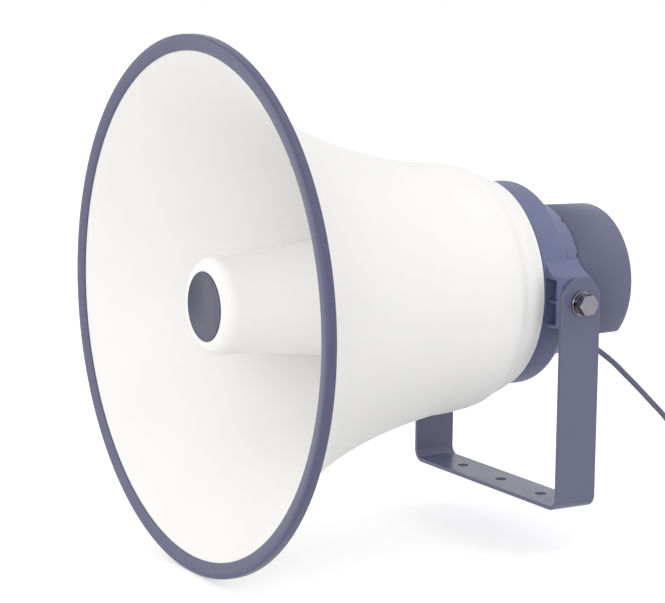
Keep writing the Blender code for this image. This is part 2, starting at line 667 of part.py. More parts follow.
def chin_block(horn):
    """The cable entry under the cover's flat."""
    top = -COVER_FLAT_BELOW - GAP
    chamfer = 8 * MM
    half = CHIN_HALF_WIDTH
    outline = [
        (-half, top), (half, top), (half, -CHIN_BELOW + chamfer),
        (half - chamfer, -CHIN_BELOW), (-half + chamfer, -CHIN_BELOW), (-half, -CHIN_BELOW + chamfer),
    ]
    start = COVER_SEAT_BEHIND - CHIN_ROOT
    shape = pulled([(x, start, z) for x, z in outline], (0, CHIN_REAR_BEHIND - start, 0))
    return new_object("chin_block", shape, None, horn)


def gland_height():
    return -(COVER_FLAT_BELOW + GAP + CHIN_BELOW) / 2


def base_cuts(horn):
    """Bolt holes in the ears, the cable way, the screw holes and the drain notches."""
    cuts = rod(BOLT_RADIUS + GAP, EAR_FACE - BOLT_DEPTH, EAR_FACE + MM, SMALL_STEPS)
    turn_about(cuts, -90, "Z")
    bmesh.ops.translate(cuts, verts=cuts.verts[:], vec=(0, 0, -AXIS_RISE))
    both_sides(cuts)
    way = turned([
        (0, 0), (4 * MM, 0), (4 * MM, CHIN_REAR_BEHIND - GLAND_SHANK - 2 * MM),
        (GLAND_HOLE_RADIUS, CHIN_REAR_BEHIND - GLAND_SHANK - 2 * MM),
        (GLAND_HOLE_RADIUS, CHIN_REAR_BEHIND + MM), (0, CHIN_REAR_BEHIND + MM),
    ], SMALL_STEPS, (0, gland_height()))
    add_shape(cuts, way)
    front = base_front()
    for place in screw_places(THROAT_SCREW_CIRCLE, 4, 45):
        add_shape(cuts, rod(THROAT_SCREW_RADIUS + GAP, front - MM, front + 5 * MM, TINY_STEPS, place))
    seat = DRIVER_SEAT_BEHIND
    for place in screw_places(DRIVER_SCREW_CIRCLE, 4, 0):
        add_shape(cuts, rod(DRIVER_SCREW_RADIUS + GAP, seat - 7 * MM, seat + MM, TINY_STEPS, place))
    for angle in NOTCH_ANGLES:
        for side in (-1, 1):
            middle = BASE_REAR_RADIUS
            notch = block(
                (-NOTCH_WIDTH / 2, BASE_REAR_BEHIND - NOTCH_DEPTH, middle - 8 * MM),
                (NOTCH_WIDTH / 2, BASE_REAR_BEHIND + MM, middle + 8 * MM),
            )
            turn_about(notch, side * angle, "Y")
            add_shape(cuts, notch)
    return new_object("base_cuts", cuts, None, horn)


def horn_gasket(horn):
    front = -BELL_REAR_AHEAD + GAP
    outer = LIP_RADIUS - MM
    flat = ring(outer - GASKET_WIDE, outer, front, front + GASKET_THICK, ROUND_STEPS)
    new_object("horn_gasket", flat, RUBBER, horn)


def rear_cover(horn):
    seat = COVER_SEAT_BEHIND + GAP
    rear = COVER_REAR_BEHIND
    small = COVER_RADIUS - COVER_DRAFT
    corner = (small - COVER_CORNER, rear - COVER_CORNER)
    outer = [(0, seat), (COVER_RADIUS, seat), (COVER_RADIUS, BASE_REAR_BEHIND + 5 * MM)]
    outer += arc(corner, COVER_CORNER, 0, 90, 3) + [(0, rear)]
    shell = new_object("rear_cover", turned(outer, FINE_STEPS), BLUE_PAINT, horn)
    beyond = COVER_RADIUS + MM
    flat = block((-beyond, seat - MM, -beyond), (beyond, rear + MM, -COVER_FLAT_BELOW))
    boolean(shell, new_object("cover_flat", flat, None, horn), "DIFFERENCE")
    inside = turned([
        (0, seat - MM), (COVER_RADIUS - COVER_WALL, seat - MM), (small - COVER_WALL, rear - COVER_CORNER),
        (small - COVER_CORNER, rear - COVER_WALL), (0, rear - COVER_WALL),
    ], FINE_STEPS)
    inside_object = new_object("cover_inside", inside, None, horn)
    under = block(
        (-COVER_RADIUS, seat - 2 * MM, -COVER_RADIUS), (COVER_RADIUS, rear, -COVER_FLAT_BELOW + COVER_WALL),
    )
    boolean(inside_object, new_object("cover_inside_flat", under, None, horn), "DIFFERENCE")
    boolean(shell, inside_object, "DIFFERENCE")
    holes = bmesh.new()
    for place in cover_screw_places():
        add_shape(holes, rod(COVER_SCREW_RADIUS + GAP, rear - COVER_WALL - MM, rear + MM, TINY_STEPS, place))
    boolean(shell, new_object("cover_holes", holes, None, horn), "DIFFERENCE")
    for i, place in enumerate(cover_screw_places(), 1):
        low, high = COVER_SEAT_BEHIND - MM + GAP, rear - COVER_WALL - GAP
        bore = COVER_SCREW_RADIUS + GAP
        post = turned([
            (0, low), (COVER_POST_RADIUS, low), (COVER_POST_RADIUS, high), (bore, high),
            (bore, high - COVER_SCREW_REACH - MM), (0, high - COVER_SCREW_REACH - MM),
        ], TINY_STEPS, place)
        new_object(f"cover_post_{i}", post, DARK_STEEL, horn)
        new_object(
            f"cover_screw_{i}", screw(COVER_SCREW_RADIUS, rear + GAP, high - COVER_SCREW_REACH, place),
            BARE_STEEL, horn,
        )


def cover_screw_places():
    return screw_places(COVER_SCREW_CIRCLE, 3, 0)


def driver_places():
    """The driver's faces along the axis, from the seat to the back of the yoke."""
    plug = DRIVER_SEAT_BEHIND + GAP
    film = plug + PLUG_THICK + DIAPHRAGM_ROOM
    plate = film + DIAPHRAGM_WALL + DIAPHRAGM_ROOM
    magnet = plate + TOP_PLATE_THICK + GAP
    back = magnet + MAGNET_THICK + GAP
    return plug, film, plate, magnet, back, back + BACK_PLATE_THICK


def dome_points(front, radius, height, steps=4):
    """(radius, along) points of a dome that bulges to the front, from its rim to its crown."""
    found = []
    for i in range(steps + 1):
        angle = math.radians(90 * i / steps)
        found.append((radius * math.cos(angle), front - height * math.sin(angle)))
    return found


def drilled(name, shape, finish, horn, places, radius, front, rear):
    """An object with holes through it from front to rear."""
    made = new_object(name, shape, finish, horn)
    holes = bmesh.new()
    for place in places:
        add_shape(holes, rod(radius, front - MM, rear + MM, TINY_STEPS, place))
    boolean(made, new_object(name + "_holes", holes, None, horn), "DIFFERENCE")
    return made


def driver(horn, moving):
    plug, film, plate, magnet, back, end = driver_places()
    places = screw_places(DRIVER_SCREW_CIRCLE, 4, 0)
    hole = DRIVER_SCREW_RADIUS + GAP

    mouth = THROAT_RADIUS - 3 * MM
    hollow_edge = film - DIAPHRAGM_ROOM
    hollow = [point for point in dome_points(hollow_edge, SLOT_RADIUS, DOME_HEIGHT) if point[0] > mouth]
    mouth_deep = DOME_HEIGHT * math.sqrt(1 - (mouth / SLOT_RADIUS) ** 2)
    phase = [(mouth, plug), (DRIVER_RADIUS, plug), (DRIVER_RADIUS, plug + PLUG_THICK)]
    phase += hollow + [(mouth, hollow_edge - mouth_deep)]
    plug_shape = turned(phase, INNER_STEPS)
    drilled("phase_plug", plug_shape, BLACK_PLASTIC, horn, places, hole, plug, plug + PLUG_THICK)
    spacer = ring(DIAPHRAGM_RADIUS + MM, DRIVER_RADIUS, plug + PLUG_THICK + GAP, plate - GAP, INNER_STEPS)
    drilled("clamp_ring", spacer, BLACK_PLASTIC, horn, places, hole, plug + PLUG_THICK, plate)

    front = dome_points(film, COIL_RADIUS, DOME_HEIGHT)
    rear = dome_points(film + DIAPHRAGM_WALL, COIL_RADIUS - DIAPHRAGM_WALL, DOME_HEIGHT)
    skin = front[::-1] + [(DIAPHRAGM_RADIUS, film), (DIAPHRAGM_RADIUS, film + DIAPHRAGM_WALL)] + rear
    skin = [(0, film - DOME_HEIGHT)] + skin[1:-1] + [(0, film + DIAPHRAGM_WALL - DOME_HEIGHT)]
    new_object("diaphragm", turned(skin, INNER_STEPS), FILM, moving)
    coil_front = film + DIAPHRAGM_WALL + GAP
    coil = ring(COIL_RADIUS, COIL_RADIUS + COIL_THICK, coil_front, coil_front + COIL_LONG, INNER_STEPS)
    new_object("voice_coil", coil, COPPER, moving)

    washer = ring(SLOT_RADIUS, DRIVER_RADIUS, plate, plate + TOP_PLATE_THICK, INNER_STEPS)
    drilled("top_plate", washer, DARK_STEEL, horn, places, hole, plate, plate + TOP_PLATE_THICK)
    magnet_outer = DRIVER_SCREW_CIRCLE - DRIVER_SCREW_RADIUS - MM
    ferrite = ring(MAGNET_HOLE, magnet_outer, magnet, magnet + MAGNET_THICK, INNER_STEPS)
    new_object("magnet_ring", ferrite, FERRITE, horn)
    pole = turned([
        (0, plate), (POLE_RADIUS - MM, plate), (POLE_RADIUS, plate + MM), (POLE_RADIUS, back),
        (DRIVER_RADIUS, back), (DRIVER_RADIUS, end), (0, end),
    ], INNER_STEPS)
    drilled("yoke", pole, DARK_STEEL, horn, places, hole, back, end)
    for i, place in enumerate(places, 1):
        new_object(
            f"driver_screw_{i}",
            screw(DRIVER_SCREW_RADIUS, end + GAP, DRIVER_SEAT_BEHIND - 6 * MM, place), BARE_STEEL, horn,
        )
    transformer(horn, end)


def screw(radius, seat, tip, place):
    """A pan-head screw along the axis: its head is on the far side of the seat from its tip."""
    away = 1 if seat > tip else -1
    head = 2 * radius
    points = [
        (0, tip), (radius, tip), (radius, seat), (head, seat), (head, seat + away * 0.7 * radius),
        (head * 0.7, seat + away * 1.2 * radius), (0, seat + away * 1.3 * radius),
    ]
    return turned(points, TINY_STEPS, place)


def transformer(horn, behind):
    """The line transformer on its tray, behind the yoke."""
    tray_front = behind + GAP
    tray = block(
        (-CORE_WIDTH / 2, tray_front, -CORE_HEIGHT / 2 - TRAY_THICK),
        (CORE_WIDTH / 2, tray_front + TRAY_THICK, CORE_HEIGHT / 2 + TRAY_THICK),
    )
    new_object("transformer_tray", tray, DARK_STEEL, horn, smooth=False)
    middle = tray_front + TRAY_THICK + GAP + WINDING_THICK / 2
    core = block(
        (-CORE_WIDTH / 2, middle - CORE_THICK / 2, -CORE_HEIGHT / 2),
        (CORE_WIDTH / 2, middle + CORE_THICK / 2, CORE_HEIGHT / 2),
    )
    made = new_object("transformer_core", core, DARK_STEEL, horn, smooth=False)
    window_low = CORE_WIDTH / 2 - LIMB
    windows = both_sides(block(
        (LIMB, middle - CORE_THICK, -CORE_HEIGHT / 2 + LIMB),
        (window_low, middle + CORE_THICK, CORE_HEIGHT / 2 - LIMB),
    ))
    boolean(made, new_object("core_windows", windows, None, horn), "DIFFERENCE")
    winding = block(
        (-window_low + GAP, middle - WINDING_THICK / 2, -CORE_HEIGHT / 2 + LIMB + GAP),
        (window_low - GAP, middle + WINDING_THICK / 2, CORE_HEIGHT / 2 - LIMB - GAP),
    )
    wound = new_object("transformer_winding", winding, COPPER, horn, smooth=False)
    limb_way = block(
        (-LIMB - GAP, middle - CORE_THICK / 2 - GAP, -CORE_HEIGHT / 2),
        (LIMB + GAP, middle + CORE_THICK / 2 + GAP, CORE_HEIGHT / 2),
    )
    boolean(wound, new_object("limb_way", limb_way, None, horn), "DIFFERENCE")


def cable_gland(horn):
    face = CHIN_REAR_BEHIND + GAP
    place = (0, gland_height())
    way = CORD_RADIUS + CORD_CLEARANCE
    body = turned([
        (way, face - GLAND_SHANK), (GLAND_HOLE_RADIUS - GAP, face - GLAND_SHANK),
        (GLAND_HOLE_RADIUS - GAP, face), (GLAND_FLANGE_ACROSS / 2, face),
        (GLAND_FLANGE_ACROSS / 2, face + GLAND_FLANGE_THICK), (way, face + GLAND_FLANGE_THICK),
    ], SMALL_STEPS, place)
    new_object("cable_gland", body, BLACK_PLASTIC, horn)
    front = face + GLAND_FLANGE_THICK + GAP
    nut = turned([
        (way, front), (GLAND_NUT_RADIUS, front), (GLAND_NUT_RADIUS, front + 0.55 * GLAND_NUT_LONG),
        (GLAND_END_RADIUS, front + GLAND_NUT_LONG), (way, front + GLAND_NUT_LONG),
    ], SMALL_STEPS, place)
    new_object("gland_nut", nut, BLACK_PLASTIC, horn)


def pivot_fixings(pivot):
    """A bolt, a spring washer and a flat washer on each side, with the right one first."""
    outer = BRACKET_WIDTH / 2
    for side, name in ((1, "near"), (-1, "far")):
        flat = outer + GAP
        spring = flat + FLAT_WASHER_THICK + GAP
        head = spring + SPRING_WASHER_THICK + GAP
        hole = BOLT_RADIUS + GAP
        shapes = {
            f"flat_washer_{name}": ring(hole, FLAT_WASHER_RADIUS, flat, flat + FLAT_WASHER_THICK, 28),
            f"spring_washer_{name}": split_ring(hole, spring),
            f"pivot_bolt_{name}": bolt_shank(head),
            f"bolt_head_{name}": bolt_head(head),
        }
        made = {}
        for node, shape in shapes.items():
            turn_about(shape, -90 * side, "Z")
            made[node] = new_object(node, shape, BARE_STEEL, pivot)
        boolean(made[f"pivot_bolt_{name}"], made[f"bolt_head_{name}"], "UNION")


def split_ring(hole, front):
    """A spring washer: a square-section ring spun most of the way round, with a slot left open."""
    shape = bmesh.new()
    rear = front + SPRING_WASHER_THICK
    section = [(hole, front), (SPRING_WASHER_RADIUS, front), (SPRING_WASHER_RADIUS, rear), (hole, rear)]
    face = shape.faces.new([shape.verts.new((radius, along, 0)) for radius, along in section])
    turn = 2 * math.pi - SPRING_WASHER_SLOT / SPRING_WASHER_RADIUS
    spun = [face] + face.edges[:] + face.verts[:]
    bmesh.ops.spin(shape, geom=spun, cent=(0, 0, 0), axis=(0, 1, 0), angle=turn, steps=24)
    return shape


def bolt_head(head):
    """A hexagon head along Y, its top raised inside a chamfer."""
    shape = prism(BOLT_HEAD_ACROSS, head, head + BOLT_HEAD_THICK - BOLT_CHAMFER)
    shape.normal_update()
    top = [f for f in shape.faces if len(f.verts) == 6 and f.calc_center_median().y > head]
    bmesh.ops.inset_individual(shape, faces=top, thickness=2 * BOLT_CHAMFER)
    bmesh.ops.translate(shape, verts=top[0].verts[:], vec=(0, BOLT_CHAMFER, 0))
    return shape


def bolt_shank(head):
    end = EAR_FACE - BOLT_DEPTH + MM
    return turned([
        (0, end), (BOLT_RADIUS - MM, end), (BOLT_RADIUS, end + MM),
        (BOLT_RADIUS, head + BOLT_HEAD_THICK / 2), (0, head + BOLT_HEAD_THICK / 2),
    ], SMALL_STEPS + 4)


def smooth_route(points, count):
    """The route resampled at even steps along a smooth curve through its own points."""
    ends = [points[0] * 2 - points[1]] + points + [points[-1] * 2 - points[-2]]
    fine = []
    for i in range(len(points) - 1):
        a, b, c, d = ends[i : i + 4]
        for step in range(20):
            t = step / 20
            bend = (2 * a - 5 * b + 4 * c - d) * t**2
            twist = (3 * b - a - 3 * c + d) * t**3
            fine.append((2 * b + (c - a) * t + bend + twist) / 2)
    fine.append(points[-1])
    lengths = [0.0]
    for a, b in zip(fine, fine[1:]):
        lengths.append(lengths[-1] + (b - a).length)
    found = []
    for i in range(count):
        want = lengths[-1] * i / (count - 1)
        k = max(j for j in range(len(lengths)) if lengths[j] <= want + 1e-9)
        k = min(k, len(fine) - 2)
        share = (want - lengths[k]) / (lengths[k + 1] - lengths[k])
        found.append(fine[k].lerp(fine[k + 1], share))
    return found


def cord():
    start = Vector((0, CHIN_REAR_BEHIND + 3 * GAP + GLAND_FLANGE_THICK + GLAND_NUT_LONG,
                    PIVOT_HEIGHT + AXIS_RISE + gland_height()))
    route = [start, start + Vector((0, 6 * MM, -0.3 * MM))] + [Vector(p) * MM for p in CORD_ROUTE]
    curve = bpy.data.curves.new("cord", "CURVE")
    curve.dimensions = "3D"
    curve.bevel_depth = CORD_RADIUS
    curve.bevel_resolution = 2
    curve.use_fill_caps = True
    spline = curve.splines.new("POLY")
    points = smooth_route(route, CORD_POINT_COUNT)
    spline.points.add(len(points) - 1)
    for point, place in zip(spline.points, points):
        point.co = (*place, 1)
    curve.materials.append(material(SHEATH))
    made = bpy.data.objects.new("cord", curve)
    bpy.context.scene.collection.objects.link(made)

    end = points[-1]
    wide = COIL_HALF_WIDE
    low, high = FLOOR, FLOOR + 2 * COIL_HALF_TALL
    side = math.sqrt((COIL_TURN_RADIUS + wide) ** 2 - (COIL_TURN_RADIUS - CORD_RADIUS) ** 2)
    middle = (end.x - COIL_TURN_RADIUS, end.y + GAP + side)
    shape = bmesh.new()
    section = [
        (COIL_TURN_RADIUS + wide, low + 2 * MM), (COIL_TURN_RADIUS + wide, high - 2 * MM),
        (COIL_TURN_RADIUS + wide - 2 * MM, high), (COIL_TURN_RADIUS - wide + 2 * MM, high),
        (COIL_TURN_RADIUS - wide, high - 2 * MM), (COIL_TURN_RADIUS - wide, low + 2 * MM),
        (COIL_TURN_RADIUS - wide + 2 * MM, low), (COIL_TURN_RADIUS + wide - 2 * MM, low),
    ]
    verts = [shape.verts.new((x, 0, z)) for x, z in section]
    edges = [shape.edges.new((verts[i], verts[(i + 1) % len(verts)])) for i in range(len(verts))]
    bmesh.ops.spin(
        shape, geom=verts + edges, cent=(0, 0, 0), axis=(0, 0, 1),
        angle=2 * math.pi, steps=24, use_merge=True,
    )
    bmesh.ops.translate(shape, verts=shape.verts[:], vec=(*middle, 0))
    new_object("cord_coil", shape, SHEATH)


def main():
    clear_scene()
    pivot = empty("pivot", (0, 0, PIVOT_HEIGHT))
    horn = empty("horn_axis", (0, 0, AXIS_RISE))
    horn.parent = pivot
    moving = empty("diaphragm_rest", (0, 0, 0))
    moving.parent = horn
    u_bracket()
    bell_shell(horn)
    rim_trim(horn)
    reflector(horn)
    throat_tube(horn)
    horn_gasket(horn)
    base_frame(horn)
    rear_cover(horn)
    driver(horn, moving)
    cable_gland(horn)
    pivot_fixings(pivot)
    cord()


main()
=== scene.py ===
"""Looks of a public-address horn speaker: powder-coated bell and casting, plated fixings and its cord.

Lengths are in metres, in the model's own frame: +Z is up, the horn's mouth faces -Y, and the origin is the
middle of the underside of the bracket's base. "Along" is the distance behind the pivot.
"""

import json
import math

import bmesh
import bpy
from bpy.props import FloatProperty, FloatVectorProperty, IntProperty, PointerProperty
from bpy.types import Operator, Panel, PropertyGroup
from mathutils import Matrix, Vector


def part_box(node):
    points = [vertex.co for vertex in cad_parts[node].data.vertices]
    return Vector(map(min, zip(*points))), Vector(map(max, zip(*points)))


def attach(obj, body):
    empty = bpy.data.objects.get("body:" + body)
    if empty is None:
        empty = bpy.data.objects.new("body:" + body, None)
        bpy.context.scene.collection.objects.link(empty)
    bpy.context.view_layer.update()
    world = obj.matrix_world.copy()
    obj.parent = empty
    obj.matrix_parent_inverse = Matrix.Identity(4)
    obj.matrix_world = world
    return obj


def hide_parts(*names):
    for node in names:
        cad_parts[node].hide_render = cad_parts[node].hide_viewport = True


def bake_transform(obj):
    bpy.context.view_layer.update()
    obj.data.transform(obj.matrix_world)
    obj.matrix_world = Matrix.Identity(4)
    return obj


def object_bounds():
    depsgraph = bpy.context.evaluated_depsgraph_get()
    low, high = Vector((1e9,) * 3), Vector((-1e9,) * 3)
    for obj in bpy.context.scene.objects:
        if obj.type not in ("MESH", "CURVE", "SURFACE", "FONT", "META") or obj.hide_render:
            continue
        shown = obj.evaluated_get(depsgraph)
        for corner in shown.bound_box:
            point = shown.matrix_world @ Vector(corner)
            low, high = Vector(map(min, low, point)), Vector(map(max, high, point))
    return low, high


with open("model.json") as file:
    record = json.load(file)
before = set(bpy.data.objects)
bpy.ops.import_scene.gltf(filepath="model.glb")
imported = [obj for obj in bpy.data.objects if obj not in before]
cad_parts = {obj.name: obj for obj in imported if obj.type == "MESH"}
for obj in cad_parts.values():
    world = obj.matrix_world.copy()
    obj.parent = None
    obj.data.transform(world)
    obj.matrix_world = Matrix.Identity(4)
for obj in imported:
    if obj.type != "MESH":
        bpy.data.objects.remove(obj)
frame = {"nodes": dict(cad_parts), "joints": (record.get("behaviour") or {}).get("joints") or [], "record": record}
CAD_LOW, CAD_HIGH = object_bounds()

bl_info = {
    "name": "Horn Speaker Looks",
    "version": (1, 0, 0),
    "blender": (4, 5, 0),
    "location": "3D View > Sidebar > Horn Speaker",
    "description": "Dresses the frame of a public-address horn speaker with its finishes, trim and cord",
    "category": "Object",
}

BELL_LOW, BELL_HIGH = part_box("bell")
BRACKET_LOW, BRACKET_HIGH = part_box("u_bracket")
TRIM_LOW, TRIM_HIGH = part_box("rim_trim")
CUP_LOW, CUP_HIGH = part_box("reflector")
BADGE_LOW, BADGE_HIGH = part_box("badge_disc")
THROAT_LOW, THROAT_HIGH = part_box("throat_tube")
COVER_LOW, COVER_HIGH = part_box("rear_cover")
GLAND_LOW, GLAND_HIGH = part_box("cable_gland")
NUT_LOW, NUT_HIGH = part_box("gland_nut")
COIL_LOW, COIL_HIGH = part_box("cord_coil")

TILT = next(joint for joint in frame["joints"] if joint["name"] == "horn_tilt")
PIVOT_HEIGHT = TILT["pos_m"][2]
AXIS_HEIGHT = (BELL_LOW.z + BELL_HIGH.z) / 2
FLOOR = CAD_LOW.z

# Width of the photograph, in pixels
PICTURE_WIDE = 665

# Room between two pieces that sit on each other, and the smallest bevels
CLEAR = 0.0003

# Sides of a small turned piece, and of a middling one
FEW_SIDES = 48
MORE_SIDES = 96

# The bell's collar behind its neck: the (radius, along) points that it passes
COLLAR_CURVE = ((0.1248, -0.089), (0.1215, -0.066), (0.116, -0.054), (0.1122, -0.042))

# The edging's face: points (out from its inner edge, ahead of the flange) that it passes
EDGING_CURVE = ((0, 0.0005), (0.0012, 0.0013), (0.0040, 0.0021), (0.0075, 0.0028))

# The casting's dome: the points (in from its lip, along) that it passes
DOME_CURVE = (
    (0, -0.004), (0.0002, 0.0022), (0.0022, 0.0066), (0.0068, 0.0104), (0.0112, 0.0146), (0.0150, 0.020),
    (0.0184, 0.026), (0.0215, 0.032),
)

# The cord's route from the gland to its coil, as the model has it: the points that it passes
CORD_ROUTE = (
    (0.0, 0.0819, 0.14485), (0.0, 0.0879, 0.14455), (0.0, 0.099, 0.1406), (0.0, 0.110, 0.1342),
    (0.0, 0.129, 0.1214), (0.0, 0.143, 0.1106), (0.0, 0.156, 0.0990), (0.0, 0.170, 0.0866),
    (0.0, 0.191, 0.0670), (0.0, 0.212, 0.0470), (-0.0005, 0.229, 0.0270), (-0.0010, 0.243, 0.0050),
    (-0.0015, 0.254, -0.0160), (-0.0020, 0.264, -0.0310), (-0.0022, 0.277, -0.0410), (-0.0024, 0.292, -0.0432),
)


def number(name, description, default, **more):
    """A setting that is a plain number."""
    return FloatProperty(name=name, description=description, default=default, **more)


def metres(name, description, default):
    """A setting in metres."""
    return number(name, description, default, unit="LENGTH")


def in_degrees(name, description, degrees):
    """A setting that is an angle, with its default in degrees."""
    return number(name, description, math.radians(degrees), subtype="ANGLE")


def paint(name, description, default):
    """A setting that is a coat's colour."""
    return FloatVectorProperty(
        name=name, description=description, default=default, subtype="COLOR", size=3, min=0, max=1
    )


class HornSizes(PropertyGroup):
    sides: IntProperty(name="Sides", description="Sides of a large turned piece", default=160, min=24)
    bell_wall: metres("Bell wall", "Thickness of the bell", 0.002)
    neck_radius: metres("Neck", "Outer radius where the flare begins", 0.126)
    neck_ahead: metres("Neck ahead", "How far the neck lies ahead of the pivot", 0.112)
    flare_growth: number("Flare growth", "How fast the flare opens, per metre", 7.9)
    flange_wide: metres("Flange", "Width of the mouth's flange", 0.012)
    trim_face: metres("Trim face", "Width of the rim's edging", 0.0153)
    trim_thick: metres("Trim thickness", "Of the edging, ahead of the flange", 0.0032)
    trim_corner: metres("Trim corner", "Radius of the edging's outer corner", 0.003)
    trim_grip: metres("Trim grip", "How far the edging reaches in behind the flange", 0.008)
    cup_radius: metres("Cup", "Radius of the reflector's nose", 0.047)
    cup_shoulder: metres("Cup shoulder", "Radius of the nose's round edge", 0.012)
    cup_growth: number("Cup growth", "How fast the reflector opens, per metre", 9.0)
    cup_lip: metres("Cup lip", "Width of the reflector's lip", 0.009)
    throat_radius: metres("Throat", "Radius of the throat's bore", 0.012)
    lip_radius: metres("Lip", "Outer radius of the casting", 0.1025)
    dome_radius: metres("Dome", "Radius of the casting where the cover begins", 0.0795)
    ear_half: metres("Ear", "Half the ear's height at the arm", 0.025)
    ear_root_half: metres("Ear root", "Half the ear's height at its root", 0.038)
    ear_wall: metres("Ear wall", "Wall above the ear's pocket", 0.003)
    ear_plate: metres("Ear plate", "Thickness at the arm", 0.008)
    cast_edge: metres("Cast edge", "Radius of the casting's edges", 0.0012)
    cover_corner: metres("Cover corner", "Radius of the cover's round edges", 0.005)
    strip_thick: metres("Strip", "Thickness of the bracket's strip", 0.004)
    bend_radius: metres("Bend", "Inside radius of the strip's bends", 0.009)
    edge_round: metres("Edge", "Radius of the strip's edges", 0.0014)
    cord_radius: metres("Cord radius", "Half the cord's diameter", 0.003)
    cord_turns: number("Cord turns", "Turns in the cord's coil", 3.75)


class HornColours(PropertyGroup):
    white: paint("White coat", "Powder coat of the bell and reflector", (0.915, 0.908, 0.895))
    blue: paint("Blue-grey coat", "Powder coat of the cover and bracket", (0.118, 0.124, 0.208))
    # The casting's coat is the cover's blue-grey made lighter: painted light, standing in for the light that falls
    # on the casting.
    cast: paint("Lightened casting coat", "Powder coat of the casting", (0.132, 0.146, 0.268))
    # The edging's coat is the casting's blue-grey made darker: painted shade on the rim's face.
    edging: paint("Edging coat", "Powder coat of the rim's edging", (0.081, 0.084, 0.163))
    disc: paint("Disc coat", "Enamel of the disc on the reflector's nose", (0.048, 0.050, 0.092))
    plate: paint("Plate", "Bright plating of the bolts and washers", (0.25, 0.24, 0.27))
    sheath: paint("Cord sheath", "The cord's outer sheath", (0.11, 0.11, 0.19))


class StageSettings(PropertyGroup):
    azimuth: in_degrees("Azimuth", "Camera's turn round the horn", 59.354)
    elevation: in_degrees("Elevation", "Camera's height angle", 9.307)
    roll: in_degrees("Roll", "Camera's roll", 0.6505)
    distance: metres("Distance", "From the pivot along the camera's view", 2.394081)
    beside: metres("Beside", "How far the pivot lies right of the view's middle", 0.174902)
    above: metres("Above", "How far the pivot lies above the view's middle", 0.016549)
    focal_pixels: number("Focal length", "In pixels of the photograph", 2365.73)
    ambient: number("Ambient", "Strength of the studio's own light", 0.87)
    left_power: number("Left", "Strength of the lamp at the front left", 0.868)
    right_power: number("Right", "Strength of the lamp at the front right", 0.589)
    top_power: number("Top", "Strength of the lamp above", 0.36)
    floor_shade: number("Floor shade", "How pale the floor is", 0.74)
    floor_glow: number("Floor glow", "How much whiter the floor looks than it is lit", 0.46)


def flare(start_radius, end_radius, start, end, growth, steps):
    """An exponential horn's (radius, along) points, from its narrow end to its wide one."""
    length = abs(end - start)
    scale = (end_radius - start_radius) / (math.exp(growth * length) - 1)
    found = []
    for i in range(steps + 1):
        share = i / steps
        found.append((
            start_radius + scale * (math.exp(growth * length * share) - 1), start + (end - start) * share
        ))
    return found


def arc(centre, radius, start, end, steps):
    """Points of (radius, along) round a corner, with angles in degrees from the radial direction."""
    angles = [math.radians(start + (end - start) * i / steps) for i in range(steps + 1)]
    return [(centre[0] + radius * math.cos(a), centre[1] + radius * math.sin(a)) for a in angles]


def eased(points, steps):
    """The points with more of them between each pair, on a smooth curve through them all."""
    points = [Vector(p) for p in points]
    ends = [points[0] * 2 - points[1]] + points + [points[-1] * 2 - points[-2]]
    found = []
    for i in range(len(points) - 1):
        a, b, c, d = ends[i : i + 4]
        for step in range(steps):
            t = step / steps
            turn = (2 * a - 5 * b + 4 * c - d) * t**2 + (3 * b - a - 3 * c + d) * t**3
            found.append(tuple((2 * b + (c - a) * t + turn) / 2))
    found.append(tuple(points[-1]))
    return found


def walled(outer, wall):
    """A closed section: the outline, and back along it one wall inwards, square to each stretch."""
    inner = []
    for i, point in enumerate(outer):
        along = (Vector(outer[min(i + 1, len(outer) - 1)]) - Vector(outer[max(i - 1, 0)])).normalized()
        inner.append((point[0] - along.y * wall, point[1] + along.x * wall))
    return list(outer) + inner[::-1]


def spun(profile, sides, closed=True, height=None):
    """A bmesh spun about the horn's axis from (radius, along) points, which close unless both ends are on it."""
    height = AXIS_HEIGHT if height is None else height
    shape = bmesh.new()
    verts = [shape.verts.new((radius, along, 0)) for radius, along in profile]
    pairs = list(zip(verts, verts[1:] + verts[:1]))
    if not closed:
        pairs.pop()
    edges = [shape.edges.new(pair) for pair in pairs]
    bmesh.ops.spin(
        shape, geom=verts + edges, cent=(0, 0, 0), axis=(0, 1, 0), angle=2 * math.pi, steps=sides, use_merge=True
    )
    bmesh.ops.remove_doubles(shape, verts=shape.verts[:], dist=1e-6)
    bmesh.ops.translate(shape, verts=shape.verts[:], vec=(0, 0, height))
    return shape


def piece(name, shape, finish, body, replaced=(), angle=40):
    """The bmesh as a finished piece at the origin, riding on a body in place of some of the frame's nodes."""
    bmesh.ops.recalc_face_normals(shape, faces=shape.faces[:])
    mesh = bpy.data.meshes.new(name)
    shape.to_mesh(mesh)
    shape.free()
    mesh.shade_smooth()
    mesh.set_sharp_from_angle(angle=math.radians(angle))
    mesh.materials.append(finish)
    made = bpy.data.objects.new(name, mesh)
    bpy.context.scene.collection.objects.link(made)
    if body:
        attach(made, body)
    if replaced:
        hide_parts(*replaced)
    return made


def pulled(outline, by):
    """A bmesh prism: the flat outline of points, pulled along the vector."""
    shape = bmesh.new()
    face = shape.faces.new([shape.verts.new(point) for point in outline])
    moved = bmesh.ops.extrude_face_region(shape, geom=[face])["geom"]
    bmesh.ops.translate(shape, vec=by, verts=[v for v in moved if isinstance(v, bmesh.types.BMVert)])
    return shape


def placed(shape, degrees=0.0, axis="Z", at=(0, 0, 0)):
    """The bmesh turned about one of the model's axes, then moved."""
    turn = Matrix.Rotation(math.radians(degrees), 3, axis)
    bmesh.ops.rotate(shape, verts=shape.verts[:], cent=(0, 0, 0), matrix=turn)
    bmesh.ops.translate(shape, verts=shape.verts[:], vec=at)
    return shape


